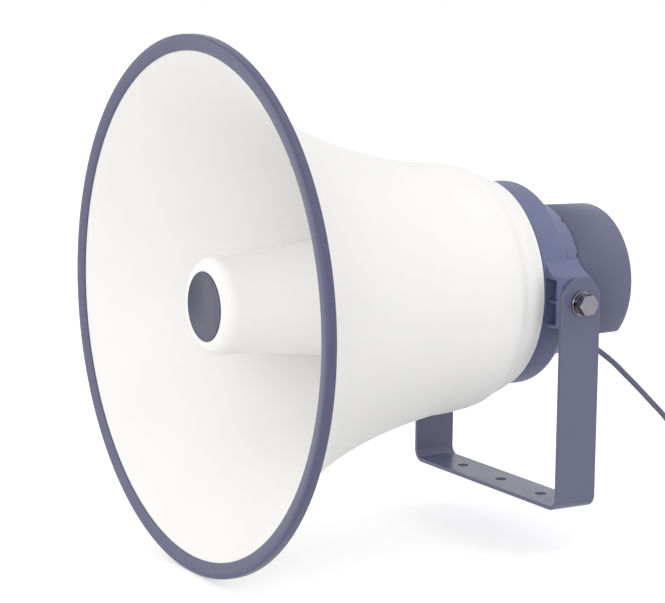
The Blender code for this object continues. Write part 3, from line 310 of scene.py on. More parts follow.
def joined(shape, other):
    """Puts the other bmesh into the shape, and frees it."""
    mesh = bpy.data.meshes.new("joined")
    bmesh.ops.recalc_face_normals(other, faces=other.faces[:])
    other.to_mesh(mesh)
    other.free()
    shape.from_mesh(mesh)
    bpy.data.meshes.remove(mesh)
    return shape


def cut(shape, tool, operation="DIFFERENCE"):
    """The bmesh with the tool's shape taken out of it, or kept in common with it."""
    made = []
    for part in (shape, tool):
        bmesh.ops.recalc_face_normals(part, faces=part.faces[:])
        mesh = bpy.data.meshes.new("work")
        part.to_mesh(mesh)
        part.free()
        made.append(bpy.data.objects.new("work", mesh))
        bpy.context.scene.collection.objects.link(made[-1])
    change = made[0].modifiers.new("change", "BOOLEAN")
    change.operation = operation
    change.object = made[1]
    change.solver = "EXACT"
    result = bmesh.new()
    result.from_object(made[0], bpy.context.evaluated_depsgraph_get())
    for thing in made:
        mesh = thing.data
        bpy.data.objects.remove(thing)
        bpy.data.meshes.remove(mesh)
    return result


def rod(radius, front, rear, sides, round_edge=0.0002, centre=(0, 0)):
    """A bmesh cylinder along the horn's axis with slightly rounded ends, about a centre (across, height)."""
    shape = spun([
        (0, front), (radius - round_edge, front), (radius, front + round_edge),
        (radius, rear - round_edge), (radius - round_edge, rear), (0, rear),
    ], sides, closed=False, height=0)
    return placed(shape, at=(centre[0], 0, centre[1]))


def softened(made, width, segments=3, angle=40):
    """Rounds the piece's sharp edges, which then catch the light."""
    soft = made.modifiers.new("Edges", "BEVEL")
    soft.width = width
    soft.segments = segments
    soft.limit_method = "ANGLE"
    soft.angle_limit = math.radians(angle)
    soft.harden_normals = True


def middle_of(node):
    """The (across, height) middle of a node."""
    low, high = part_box(node)
    return (low.x + high.x) / 2, (low.z + high.z) / 2


def new_group(name, inputs):
    """A grain's shader node group: its inputs are (name, default), and it gives a height, mask and roughness."""
    group = bpy.data.node_groups.new(name, "ShaderNodeTree")
    for label, default in inputs:
        socket = group.interface.new_socket(name=label, in_out="INPUT", socket_type="NodeSocketFloat")
        socket.default_value = default
    for label in ("Height", "Mask", "Roughness"):
        group.interface.new_socket(name=label, in_out="OUTPUT", socket_type="NodeSocketFloat")
    return group, group.nodes.new("NodeGroupInput"), group.nodes.new("NodeGroupOutput")


def fed(tree, node, values):
    """The node, with each named or counted input given its value, or linked where the value is an output."""
    for entry, value in values.items():
        if isinstance(value, bpy.types.NodeSocket):
            tree.links.new(value, node.inputs[entry])
        else:
            node.inputs[entry].default_value = value
    return node


def added(tree, kind, values):
    """A new shader node of one kind, with its inputs fed."""
    return fed(tree, tree.nodes.new(f"ShaderNode{kind}"), values)


def noise(tree, where, scale, detail, roughness):
    """A noise of one scale at each place."""
    values = {"Vector": where, "Scale": scale, "Detail": detail, "Roughness": roughness}
    return added(tree, "TexNoise", values).outputs["Fac"]


def spread(tree, value, low, high, to_low, to_high):
    """The value mapped from one range to another, and held there."""
    values = {"Value": value, "From Min": low, "From Max": high, "To Min": to_low, "To Max": to_high}
    return added(tree, "MapRange", values).outputs["Result"]


def worked(tree, operation, first, second):
    """The outcome of a sum on two values."""
    node = added(tree, "Math", {0: first, 1: second})
    node.operation = operation
    return node.outputs["Value"]


def led_out(group, given, out, height, mask):
    """The grain group with its height, its mask and the roughness that follows the mask led out."""
    low, high = 0.3, 0.7
    gloss = spread(group, mask, low, high, given.outputs["Gloss Low"], given.outputs["Gloss High"])
    fed(group, out, {"Height": height, "Mask": spread(group, mask, low, high, 0.0, 1.0), "Roughness": gloss})
    return group


def coat_grain():
    """Powder coat: the fine orange peel of its surface, and a slow drift of shade and gloss."""
    found = bpy.data.node_groups.get("Coat grain")
    if found:
        return found
    group, given, out = new_group(
        "Coat grain", [("Peel Scale", 700.0), ("Drift Scale", 9.0), ("Gloss Low", 0.38), ("Gloss High", 0.5)]
    )
    place = group.nodes.new("ShaderNodeTexCoord").outputs["Object"]
    peel = noise(group, place, given.outputs["Peel Scale"], 3.0, 0.55)
    drift = noise(group, place, given.outputs["Drift Scale"], 3.0, 0.5)
    return led_out(group, given, out, peel, drift)


def drawn_grain():
    """Metal and plastic: streaks along one way, with specks between them."""
    found = bpy.data.node_groups.get("Drawn grain")
    if found:
        return found
    group, given, out = new_group(
        "Drawn grain", [("Scale", 300.0), ("Stretch", 12.0), ("Gloss Low", 0.25), ("Gloss High", 0.4)]
    )
    place = group.nodes.new("ShaderNodeTexCoord").outputs["Object"]
    longer = added(group, "CombineXYZ", {"X": 1.0, "Y": 1.0, "Z": given.outputs["Stretch"]})
    squeezed = added(group, "VectorMath", {0: place, 1: longer.outputs["Vector"]})
    squeezed.operation = "DIVIDE"
    streak = noise(group, squeezed.outputs["Vector"], given.outputs["Scale"], 4.0, 0.6)
    return led_out(group, given, out, streak, streak)


def new_material(name):
    """A new material with its node tree and its shader."""
    made = bpy.data.materials.new(name)
    made.use_nodes = True
    return made, made.node_tree, made.node_tree.nodes["Principled BSDF"]


def shades(tree, mask, dark, light):
    """A colour that drifts from dark to light with the mask."""
    mix = tree.nodes.new("ShaderNodeMix")
    mix.data_type = "RGBA"
    tree.links.new(mask, mix.inputs["Factor"])
    mix.inputs["A"].default_value = (*dark, 1)
    mix.inputs["B"].default_value = (*light, 1)
    return mix.outputs["Result"]


def dressed(name, group, values, colour, drift, depth):
    """A new material of one colour with a grain over it, and its bump node."""
    made, tree, shader = new_material(name)
    node = tree.nodes.new("ShaderNodeGroup")
    node.node_tree = group
    grain = fed(tree, node, values).outputs
    dark = [c * (1 - drift) for c in colour]
    light = [min(1.0, c * (1 + drift)) for c in colour]
    bump = added(tree, "Bump", {"Strength": 1.0, "Distance": depth, "Height": grain["Height"]})
    fed(tree, shader, {
        "Base Color": shades(tree, grain["Mask"], dark, light), "Roughness": grain["Roughness"],
        "Normal": bump.outputs["Normal"],
    })
    return made, bump


def coat(name, colour, peel=700.0, depth=0.00003, low=0.38, high=0.5, drift=0.04, edge=0.0):
    """A powder-coated finish of one colour. Its edges look rounded where edge is their radius."""
    found = bpy.data.materials.get(name)
    if found:
        return found
    values = {"Peel Scale": peel, "Drift Scale": 9.0, "Gloss Low": low, "Gloss High": high}
    made, bump = dressed(name, coat_grain(), values, colour, drift, depth)
    if edge:
        rounded = added(made.node_tree, "Bevel", {"Radius": edge})
        rounded.samples = 6
        fed(made.node_tree, bump, {"Normal": rounded.outputs["Normal"]})
    return made


def drawn(name, colour, metallic, low, high, scale=300.0, stretch=12.0, depth=0.00001, drift=0.1):
    """A metal or plastic finish with a grain along the height."""
    found = bpy.data.materials.get(name)
    if found:
        return found
    values = {"Scale": scale, "Stretch": stretch, "Gloss Low": low, "Gloss High": high}
    made = dressed(name, drawn_grain(), values, colour, drift, depth)[0]
    fed(made.node_tree, made.node_tree.nodes["Principled BSDF"], {"Metallic": metallic})
    return made


def painted(name, part, **look):
    """A coat in one of the add-on's colours."""
    return coat(name, tuple(getattr(bpy.context.scene.horn_colours, part)), **look)


def white_coat():
    return painted("White coat", "white", low=0.46, high=0.56, drift=0.015)


def blue_coat():
    return painted("Blue-grey coat", "blue", peel=900.0, low=0.36, high=0.46)


# The casting's coarse-peeled coat in its lighter blue-grey, which is painted light on the casting.
def lightened_cast_coat():
    edge = bpy.context.scene.horn_sizes.cast_edge
    return painted("Cast coat", "cast", peel=520.0, depth=0.00006, low=0.42, high=0.54, edge=edge)


def bracket_coat():
    return painted("Bracket coat", "blue", peel=900.0, low=0.27, high=0.36)


# The edging's coat in its darker blue-grey, which is painted shade on the rim's face.
def darkened_edging_coat():
    return painted("Edging coat", "edging", peel=900.0, low=0.36, high=0.46)


def disc_coat():
    return painted("Disc coat", "disc", peel=1400.0, depth=0.00001, low=0.36, high=0.44)


def bright_plate():
    return drawn("Bright plate", tuple(bpy.context.scene.horn_colours.plate), 1.0, 0.16, 0.3, stretch=1.0)


def dark_steel():
    return drawn("Dark steel", (0.30, 0.30, 0.31), 1.0, 0.35, 0.5)


def black_plastic():
    return drawn("Black plastic", (0.035, 0.035, 0.04), 0.0, 0.42, 0.55, scale=900.0, stretch=1.0)


def soft_rubber():
    return drawn("Soft rubber", (0.045, 0.045, 0.05), 0.0, 0.7, 0.85, scale=700.0, stretch=1.0)


def ferrite():
    return drawn("Ferrite", (0.07, 0.07, 0.075), 0.0, 0.55, 0.7, scale=800.0, stretch=1.0, depth=0.00003)


def copper_wire():
    return drawn("Copper wire", (0.62, 0.28, 0.13), 1.0, 0.28, 0.42, scale=900.0, stretch=20.0, depth=0.00004)


def pressed_film():
    return drawn("Pressed film", (0.52, 0.38, 0.20), 0.0, 0.35, 0.5, scale=500.0, stretch=1.0)


def core_sheath():
    return coat("Core sheath", (0.55, 0.54, 0.52), peel=300.0, low=0.4, high=0.5)


def cord_sheath():
    return painted("Cord sheath", "sheath", peel=1500.0, low=0.45, high=0.55)


FINISHES = {
    "white_paint": white_coat,
    "blue_paint": blue_coat,
    "bracket_paint": blue_coat,
    "bright_steel": bright_plate,
    "dark_steel": dark_steel,
    "ferrite": ferrite,
    "rubber": soft_rubber,
    "black_plastic": black_plastic,
    "copper": copper_wire,
    "film": pressed_film,
    "sheath": cord_sheath,
}


def bell_outline(sizes):
    """The bell's outer (radius, along) points from the mouth to the hole in its back."""
    rear = BELL_HIGH.y
    mouth = (BELL_HIGH.x - BELL_LOW.x) / 2
    flange = BELL_LOW.y + sizes.bell_wall
    flared = flare(
        sizes.neck_radius, mouth - sizes.flange_wide, -sizes.neck_ahead, flange, sizes.flare_growth, 48
    )
    end, soft, hole = 0.107, 0.004, 0.0202
    back = [(sizes.neck_radius, -sizes.neck_ahead), *COLLAR_CURVE, (end, rear - soft)]
    corner = arc((end - soft, rear - soft), soft, 0, 90, 6)
    return [(mouth, flange)] + flared[:0:-1] + eased(back, 6)[:-1] + corner + [(hole, rear)]


class HORN_OT_bell(Operator):
    """Spin the bell's shell"""

    bl_idname = "horn.bell"
    bl_label = "Bell"

    def execute(self, context):
        sizes = context.scene.horn_sizes
        shape = spun(walled(bell_outline(sizes), sizes.bell_wall), sizes.sides)
        piece("bell_shell", shape, white_coat(), "horn", ["bell"])
        return {"FINISHED"}


class HORN_OT_edging(Operator):
    """Spin the edging that grips the mouth's flange"""

    bl_idname = "horn.edging"
    bl_label = "Rim edging"

    def execute(self, context):
        sizes = context.scene.horn_sizes
        outer = (TRIM_HIGH.x - TRIM_LOW.x) / 2
        front, rear = TRIM_LOW.y, TRIM_HIGH.y
        inner, grip = outer - sizes.trim_face, outer - sizes.trim_grip
        seat = front + sizes.trim_thick
        clear = BELL_LOW.y - seat
        behind = BELL_LOW.y + sizes.bell_wall + clear
        way = (BELL_HIGH.x - BELL_LOW.x) / 2 + clear
        corner = (outer - sizes.trim_corner, front + sizes.trim_corner)
        level, soft = 0.01, 0.001
        face = [(inner + out, seat - ahead) for out, ahead in EDGING_CURVE]
        face += [(inner + level, front), (corner[0], front)]
        section = [(inner, seat)] + eased(face, 6)[:-1] + arc(corner, sizes.trim_corner, -90, 0, 10)
        section += arc((outer - soft, rear - soft), soft, 0, 90, 5)
        section += [(grip, rear), (grip, behind), (way, behind), (way, seat)]
        piece("rim_edging", spun(section, sizes.sides), darkened_edging_coat(), "horn", ["rim_trim"])
        return {"FINISHED"}


def cup_section(sizes):
    """The reflector's section from the middle of its nose out, back to its lip and in again."""
    nose, rear = CUP_LOW.y, CUP_HIGH.y
    lip = (CUP_HIGH.x - CUP_LOW.x) / 2
    wall, shoulder = sizes.bell_wall, sizes.cup_shoulder
    dip, soft = 0.001, 0.0006
    seat = (BADGE_HIGH.x - BADGE_LOW.x) / 2 + CLEAR
    corner = (sizes.cup_radius - shoulder, nose + shoulder)
    sides = flare(
        sizes.cup_radius, lip - sizes.cup_lip, nose + 2 * shoulder, rear - wall, sizes.cup_growth, 32
    )
    outer = [(0, nose + dip), (seat, nose + dip), (seat, nose + CLEAR), (seat + CLEAR, nose)]
    outer += arc(corner, shoulder, -90, 0, 12) + sides
    outer += [(lip - soft, rear - wall), (lip, rear - wall + soft), (lip, rear - soft), (lip - soft, rear)]
    inner = [(lip - sizes.cup_lip - wall, rear)] + [(radius - wall, along) for radius, along in sides[-2::-1]]
    inner += arc(corner, shoulder - wall, 0, -90, 8) + [(0, nose + wall + dip)]
    return outer + inner


class HORN_OT_reflector(Operator):
    """Spin the reflector, the bare disc on its nose and the posts that carry it"""

    bl_idname = "horn.reflector"
    bl_label = "Reflector"

    def execute(self, context):
        sizes = context.scene.horn_sizes
        cup = spun(cup_section(sizes), 128, closed=False)
        piece("reflector_cup", cup, white_coat(), "horn", ["reflector"], angle=35)

        radius = (BADGE_HIGH.x - BADGE_LOW.x) / 2
        front, back = BADGE_LOW.y, BADGE_HIGH.y
        edge, bevel, border, sunk = 0.0005, 0.0002, 0.0013, 0.0003
        disc = [(0, back), (radius - bevel, back), (radius, back - bevel), (radius, front + edge)]
        disc += arc((radius - edge, front + edge), edge, 0, -90, 4)[1:]
        disc += [(radius - border, front), (radius - border - 0.0004, front + sunk), (0, front + sunk)]
        shape = spun(disc, MORE_SIDES, closed=False)
        piece("nose_disc", shape, disc_coat(), "horn", ["badge_disc"])

        post_radius, post_bevel = 0.0045, 0.0004
        for i in (1, 2, 3):
            node = f"reflector_post_{i}"
            low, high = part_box(node)
            shape = rod(post_radius, low.y, high.y, 32, post_bevel, middle_of(node))
            piece(f"cup_post_{i}", shape, white_coat(), "horn", [node])
        return {"FINISHED"}


class HORN_OT_throat(Operator):
    """Spin the throat tube with its flange"""

    bl_idname = "horn.throat"
    bl_label = "Throat tube"

    def execute(self, context):
        sizes = context.scene.horn_sizes
        flange = (THROAT_HIGH.x - THROAT_LOW.x) / 2
        bore, wall, wide, flange_thick, bevel = sizes.throat_radius, 0.0022, 0.024, 0.003, 0.001
        tube_radius, spigot = bore + wall, bore + wall + 0.005
        seat = BELL_HIGH.y - sizes.bell_wall - CLEAR
        front, mouth = seat - flange_thick, THROAT_LOW.y
        horn = flare(tube_radius, wide, front - 0.002, mouth, 3.0, 24)
        section = [(spigot, THROAT_HIGH.y), (spigot, seat), (flange, seat), (flange, front + bevel)]
        section += [(flange - bevel, front), (tube_radius + 0.003, front), (tube_radius + 0.0008, front - 0.0007)]
        section += horn[:-1] + [(wide - 0.0006, mouth), (wide - wall, mouth + 0.0004)]
        section += [(radius - wall, along) for radius, along in horn[-2::-1]]
        section += [(bore, front), (bore, THROAT_HIGH.y)]
        shape = spun(section, MORE_SIDES)
        piece("sound_throat", shape, white_coat(), "horn", ["throat_tube"])
        return {"FINISHED"}


def cover_outline(radius, flat, corner):
    """(across, height) points of a round that is cut flat below, with soft corners, counter-clockwise."""
    aside = math.sqrt((radius - corner) ** 2 - (flat - corner) ** 2)
    tilt = math.degrees(math.atan2(corner - flat, aside))
    points = arc((0, 0), radius, tilt, 180 - tilt, 120)
    points += arc((-aside, corner - flat), corner, 180 - tilt, 270, 10)[1:]
    return points + arc((aside, corner - flat), corner, 270, 360 + tilt, 10)[:-1]


class HORN_OT_cover(Operator):
    """Draw the rear cover, flat below and open towards the casting"""

    bl_idname = "horn.cover"
    bl_label = "Rear cover"

    def execute(self, context):
        sizes = context.scene.horn_sizes
        radius = (COVER_HIGH.x - COVER_LOW.x) / 2
        flat = AXIS_HEIGHT - COVER_LOW.z
        front, rear = COVER_LOW.y, COVER_HIGH.y
        lower_corner, taper, wall_thick = sizes.cover_corner + 0.0015, 0.98, 0.0025
        shape = bmesh.new()
        verts = [shape.verts.new((x, 0, z)) for x, z in cover_outline(radius, flat, lower_corner)]
        edges = [shape.edges.new(pair) for pair in zip(verts, verts[1:] + verts[:1])]
        grown = bmesh.ops.extrude_edge_only(shape, edges=edges)["geom"]
        far = [v for v in grown if isinstance(v, bmesh.types.BMVert)]
        rim = [e for e in grown if isinstance(e, bmesh.types.BMEdge) and e.verts[0] in far and e.verts[1] in far]
        bmesh.ops.scale(shape, vec=(taper, 1, taper), verts=far)
        bmesh.ops.translate(shape, vec=(0, rear - front, 0), verts=far)
        bmesh.ops.contextual_create(shape, geom=rim)
        bmesh.ops.bevel(
            shape, geom=rim, offset=sizes.cover_corner, segments=8, profile=0.5, affect="EDGES", material=-1,
            clamp_overlap=True,
        )
        bmesh.ops.translate(shape, vec=(0, front, AXIS_HEIGHT), verts=shape.verts[:])
        made = piece("cover_shell", shape, blue_coat(), "horn", ["rear_cover"])
        wall = made.modifiers.new("Wall", "SOLIDIFY")
        wall.thickness = wall_thick
        wall.offset = -1
        wall.use_even_offset = True
        return {"FINISHED"}


class HORN_OT_bracket(Operator):
    """Bend the bracket's strip, round its ends and drill it"""

    bl_idname = "horn.bracket"
    bl_label = "Bracket"

    def execute(self, context):
        sizes = context.scene.horn_sizes
        half, top = BRACKET_HIGH.x, BRACKET_HIGH.z
        wide = BRACKET_HIGH.y - BRACKET_LOW.y
        thick, inside = sizes.strip_thick, sizes.bend_radius
        bend = inside + thick
        centre = (half - bend, bend)
        outer = [(half, top)] + arc(centre, bend, 0, -90, 14)
        inner = [(half - thick, top)] + arc(centre, inside, 0, -90, 14)
        outline = outer + [(-x, z) for x, z in reversed(outer)] + [(-x, z) for x, z in inner] + inner[::-1]
        shape = pulled([(x, -wide / 2, z) for x, z in outline], (0, wide, 0))
        ends = [
            e for e in shape.edges
            if all(abs(v.co.z - top) < 1e-6 for v in e.verts) and abs(e.verts[0].co.y - e.verts[1].co.y) < 1e-6
        ]
        bmesh.ops.bevel(
            shape, geom=ends, offset=wide / 2 - 0.0001, segments=18, profile=0.5, affect="EDGES", material=-1
        )
        bolt_hole, fixing_hole, fixings_apart, past = 0.0064, 0.0055, 0.07, 0.01
        drill = placed(rod(bolt_hole, -half - past, half + past, FEW_SIDES), 90, "Z", (0, 0, PIVOT_HEIGHT))
        for i in (-1, 0, 1):
            joined(drill, placed(rod(fixing_hole, -past, 2 * past, FEW_SIDES), 90, "X", (fixings_apart * i, 0, 0)))
        made = piece("bracket_strip", cut(shape, drill), bracket_coat(), "bracket", ["u_bracket"])
        softened(made, sizes.edge_round)
        return {"FINISHED"}


def pan_screw(node, radius, behind):
    """A bmesh pan-head screw with a cross in its head, in a node's place: its head is behind, or ahead."""
    low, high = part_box(node)
    head, long = 2 * radius, high.y - low.y
    seat = long - 1.3 * radius
    section = [(0, 0), (radius - 0.0004, 0), (radius, 0.0004), (radius, seat), (head, seat)]
    section += eased([(head, seat + 0.5 * radius), (0.8 * head, seat + 1.05 * radius), (0, long)], 5)
    shape = spun(section, 32, closed=False, height=0)
    reach = Vector((1.15 * head, 1.4 * radius, 0.26 * head)) / 2
    for turn in (0, 90):
        shape = cut(shape, placed(block(-reach, reach), turn, "Y", (0, long, 0)))
    across, height = middle_of(node)
    if behind:
        return placed(shape, 0, "Z", (across, low.y, height))
    return placed(shape, 180, "Z", (across, high.y, height))


class HORN_OT_screws(Operator):
    """Turn the screws of the cover, the reflector and the throat"""

    bl_idname = "horn.screws"
    bl_label = "Screws"

    def execute(self, context):
        kinds = (("cover", 3, 0.002, True), ("reflector", 3, 0.0018, False), ("throat", 4, 0.002, False))
        for kind, count, radius, behind in kinds:
            for i in range(1, count + 1):
                node = f"{kind}_screw_{i}"
                shape = pan_screw(node, radius, behind)
                piece(f"{kind}_screw_head_{i}", shape, bright_plate(), "horn", [node])
        return {"FINISHED"}


def hexagon(radius, seat, thick):
    """A bmesh hexagon prism along +Y from its seat, with its corners at the radius."""
    turns = [math.radians(60 * i) for i in range(6)]
    return pulled([(radius * math.sin(a), seat, radius * math.cos(a)) for a in turns], (0, thick, 0))


def bolt_shape(seat, end):
    """A bmesh hexagon bolt along +Y with its head's corners turned off."""
    across, thick, turned, shank, bevel, chamfer = 0.019, 0.0075, 35, 0.006, 0.001, 0.0024
    corner, top, inside = across / 2 / math.cos(math.pi / 6), seat + thick, seat + 0.003
    turned_off = spun([
        (0, seat - bevel), (corner + bevel, seat - bevel), (corner + bevel, top - chamfer),
        (across / 2 + 0.0002, top), (0, top),
    ], MORE_SIDES, closed=False, height=0)
    head = cut(placed(hexagon(corner, seat, thick), turned, "Y"), turned_off, "INTERSECT")
    stem = [(0, end), (shank - bevel, end), (shank, end + bevel), (shank, inside), (0, inside)]
    return joined(head, spun(stem, FEW_SIDES, closed=False, height=0))


def spring_shape(inner, outer, front, thick):
    """A bmesh spring washer along +Y: a square section wound once, its two ends a little apart."""
    shape = bmesh.new()
    shift, gap, steps = 0.00035, 0.0022, 64
    section = [(inner, front + shift), (outer, front + shift), (outer, front + thick), (inner, front + thick)]
    face = shape.faces.new([shape.verts.new((radius, along, 0)) for radius, along in section])
    geometry = [face] + face.edges[:] + face.verts[:]
    bmesh.ops.spin(
        shape, geom=geometry, cent=(0, 0, 0), axis=(0, 1, 0), angle=2 * math.pi - gap / outer, steps=steps,
        dvec=(0, -shift / steps, 0),
    )
    return shape


class HORN_OT_pivots(Operator):
    """Make each pivot's bolt, spring washer and flat washer"""

    bl_idname = "horn.pivots"
    bl_label = "Pivots"

    def execute(self, context):
        bore, flat_radius, spring_radius, bevel, soft = 0.0063, 0.012, 0.0104, 0.0004, 0.00025
        for side, name in ((1, "near"), (-1, "far")):
            spans = {}
            for kind in ("pivot_bolt", "spring_washer", "flat_washer"):
                low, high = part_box(f"{kind}_{name}")
                spans[kind] = sorted((abs(low.x), abs(high.x)))
            inner, outer = spans["flat_washer"]
            flat = spun([
                (bore, inner), (flat_radius - bevel, inner), (flat_radius, inner + bevel),
                (flat_radius, outer - bevel), (flat_radius - bevel, outer), (bore, outer),
            ], MORE_SIDES, height=0)
            inner, outer = spans["spring_washer"]
            spring = spring_shape(bore, spring_radius, inner, outer - inner)
            bolt = bolt_shape(outer + CLEAR, spans["pivot_bolt"][0])
            for kind, shape in (("flat_washer", flat), ("spring_washer", spring), ("pivot_bolt", bolt)):
                node = f"{kind}_{name}"
                placed(shape, -90 * side, "Z", (0, 0, PIVOT_HEIGHT))
                made = piece(f"{node}_plated", shape, bright_plate(), "horn", [node])
                if kind != "flat_washer":
                    softened(made, soft, 2)
        return {"FINISHED"}


class HORN_OT_gland(Operator):
    """Make the cable gland and its ribbed nut"""

    bl_idname = "horn.gland"
    bl_label = "Cable gland"

    def execute(self, context):
        across, height = middle_of("cable_gland")
        way = context.scene.horn_sizes.cord_radius + 0.0004
        thick, corner, flange_radius, shank_radius, past = 0.005, 0.0113, 0.0102, 0.0075, 0.01
        front, rear = GLAND_LOW.y, GLAND_HIGH.y
        seat = rear - thick
        round_off = spun([
            (0, seat - 0.001), (flange_radius, seat - 0.001), (flange_radius, rear - 0.0008),
            (flange_radius - 0.0007, rear), (0, rear),
        ], 64, closed=False, height=0)
        body = cut(hexagon(corner, seat, thick), round_off, "INTERSECT")
        body = cut(body, rod(shank_radius, front, seat + 0.002, FEW_SIDES), "UNION")
        body = cut(body, rod(way, front - past, rear + past, FEW_SIDES))
        placed(body, at=(across, 0, height))
        made = piece("gland_body", body, black_plastic(), "horn", ["cable_gland"])
        softened(made, CLEAR, 2)

        front, rear = NUT_LOW.y, NUT_HIGH.y
        radius, bevel, grooves, groove_radius = 0.0085, 0.0005, 12, 0.0008
        knee = front + 0.55 * (rear - front)
        dome = eased([(0.0078, knee), (0.0074, knee + 0.0022), (0.0062, rear - 0.0018), (0.0048, rear)], 5)
        side = [(way, front), (radius - bevel, front), (radius, front + bevel), (radius, knee - 0.0004)]
        nut = spun(side + dome + [(way, rear)], 64, height=0)
        for i in range(grooves):
            groove = rod(groove_radius, front + 0.0012, knee + 0.001, 12, centre=(0, radius + 0.0002))
            nut = cut(nut, placed(groove, 360 / grooves * i, "Y"))
        placed(nut, at=(across, 0, height))
        piece("gland_dome", nut, black_plastic(), "horn", ["gland_nut"])
        return {"FINISHED"}


def merged(node):
    """A bmesh copy of one of the frame's nodes with its doubled points and its flat faces' inner edges merged."""
    shape = bmesh.new()
    shape.from_mesh(frame["nodes"][node].data)
    bmesh.ops.remove_doubles(shape, verts=shape.verts[:], dist=1e-6)
    bmesh.ops.dissolve_limit(shape, angle_limit=math.radians(0.4), verts=shape.verts[:], edges=shape.edges[:])
    return shape


def mirrored(shape):
    """The bmesh with its mirror image across the middle of the horn."""
    copy = shape.copy()
    bmesh.ops.scale(copy, vec=(-1, 1, 1), verts=copy.verts[:])
    bmesh.ops.reverse_faces(copy, faces=copy.faces[:])
    return joined(shape, copy)


def block(low, high):
    """A bmesh box between two corners."""
    shape = bmesh.new()
    bmesh.ops.create_cube(shape, size=1)
    low, high = Vector(low), Vector(high)
    bmesh.ops.scale(shape, vec=high - low, verts=shape.verts[:])
    bmesh.ops.translate(shape, vec=(low + high) / 2, verts=shape.verts[:])
    return shape


def flatted(radius, front, rear, flat):
    """A bmesh prism along the axis with the cover's outline: round, and cut flat below."""
    outline = cover_outline(radius, flat, 0.004)
    return pulled([(x, front, z) for x, z in outline], (0, rear - front, 0))


def casting_body(sizes, front, seat, rear):
    """The turned body of the casting: a plate, a lip and a dome that falls to the cover, hollow behind."""
    lip, small, bore = sizes.lip_radius, sizes.dome_radius, sizes.throat_radius
    wall, plate, step, bevel, edge = 0.004, 0.006, 0.002, 0.0008, 0.0004
    back, ledge, hollow = front + plate, seat - wall, lip - 2 * wall
    ring_out, ring_in, ring_end, spigot = 0.052, 0.036, -0.012, 0.0195
    dome = eased([(lip - inside, along) for inside, along in DOME_CURVE] + [(small + edge, rear - edge)], 4)
    outer = [(lip - bevel, front), (lip - bevel / 4, front + bevel / 4), (lip, front + bevel)] + dome
    inner = [
        (0, ledge), (small - wall, ledge), (hollow, 0), (hollow, back), (ring_out, back),
        (ring_out, ring_end), (ring_in, ring_end), (ring_in, back + step), (bore, back + step),
        (bore, front + step), (spigot, front + step), (spigot, front),
    ]
    return spun(inner + outer + [(small - edge, rear), (0, rear)], sizes.sides, closed=False, height=0)


def ear_walls(sizes, face):
    """The two lugs, each a hollow curve from the casting's side down to a plate at the arm."""
    tall, root, droop, half_deep, across, steps = sizes.ear_half, sizes.ear_root_half, 0.003, 0.021, 0.020, 16
    sunk, start = sizes.lip_radius - 0.0185, face - sizes.ear_plate - across
    above, below = [(sunk, root)], [(sunk, -tall - droop)]
    for i in range(steps + 1):
        share = i / steps
        above.append((start + across * share, tall + (root - tall) * (1 - share) ** 2))
        below.append((start + across * share, -tall - droop * (1 - share) ** 2))
    above.append((face, tall))
    below.append((face, -tall))
    shape = pulled([(x, -half_deep, z) for x, z in above + below[::-1]], (0, 2 * half_deep, 0))

    corner_radius, behind, over, past, slant = 0.0225, 0.040, 0.060, 0.006, (-0.056, 0, 0.033)
    turns = [math.radians(degrees) for degrees in range(0, 75, 6)]
    corner = [(math.sin(a) * corner_radius, math.cos(a) * corner_radius + droop) for a in turns]
    corner += [(behind, corner[-1][1]), (behind, over), (0, over)]
    return mirrored(cut(shape, pulled([(face + past, y, z) for y, z in corner], slant)))


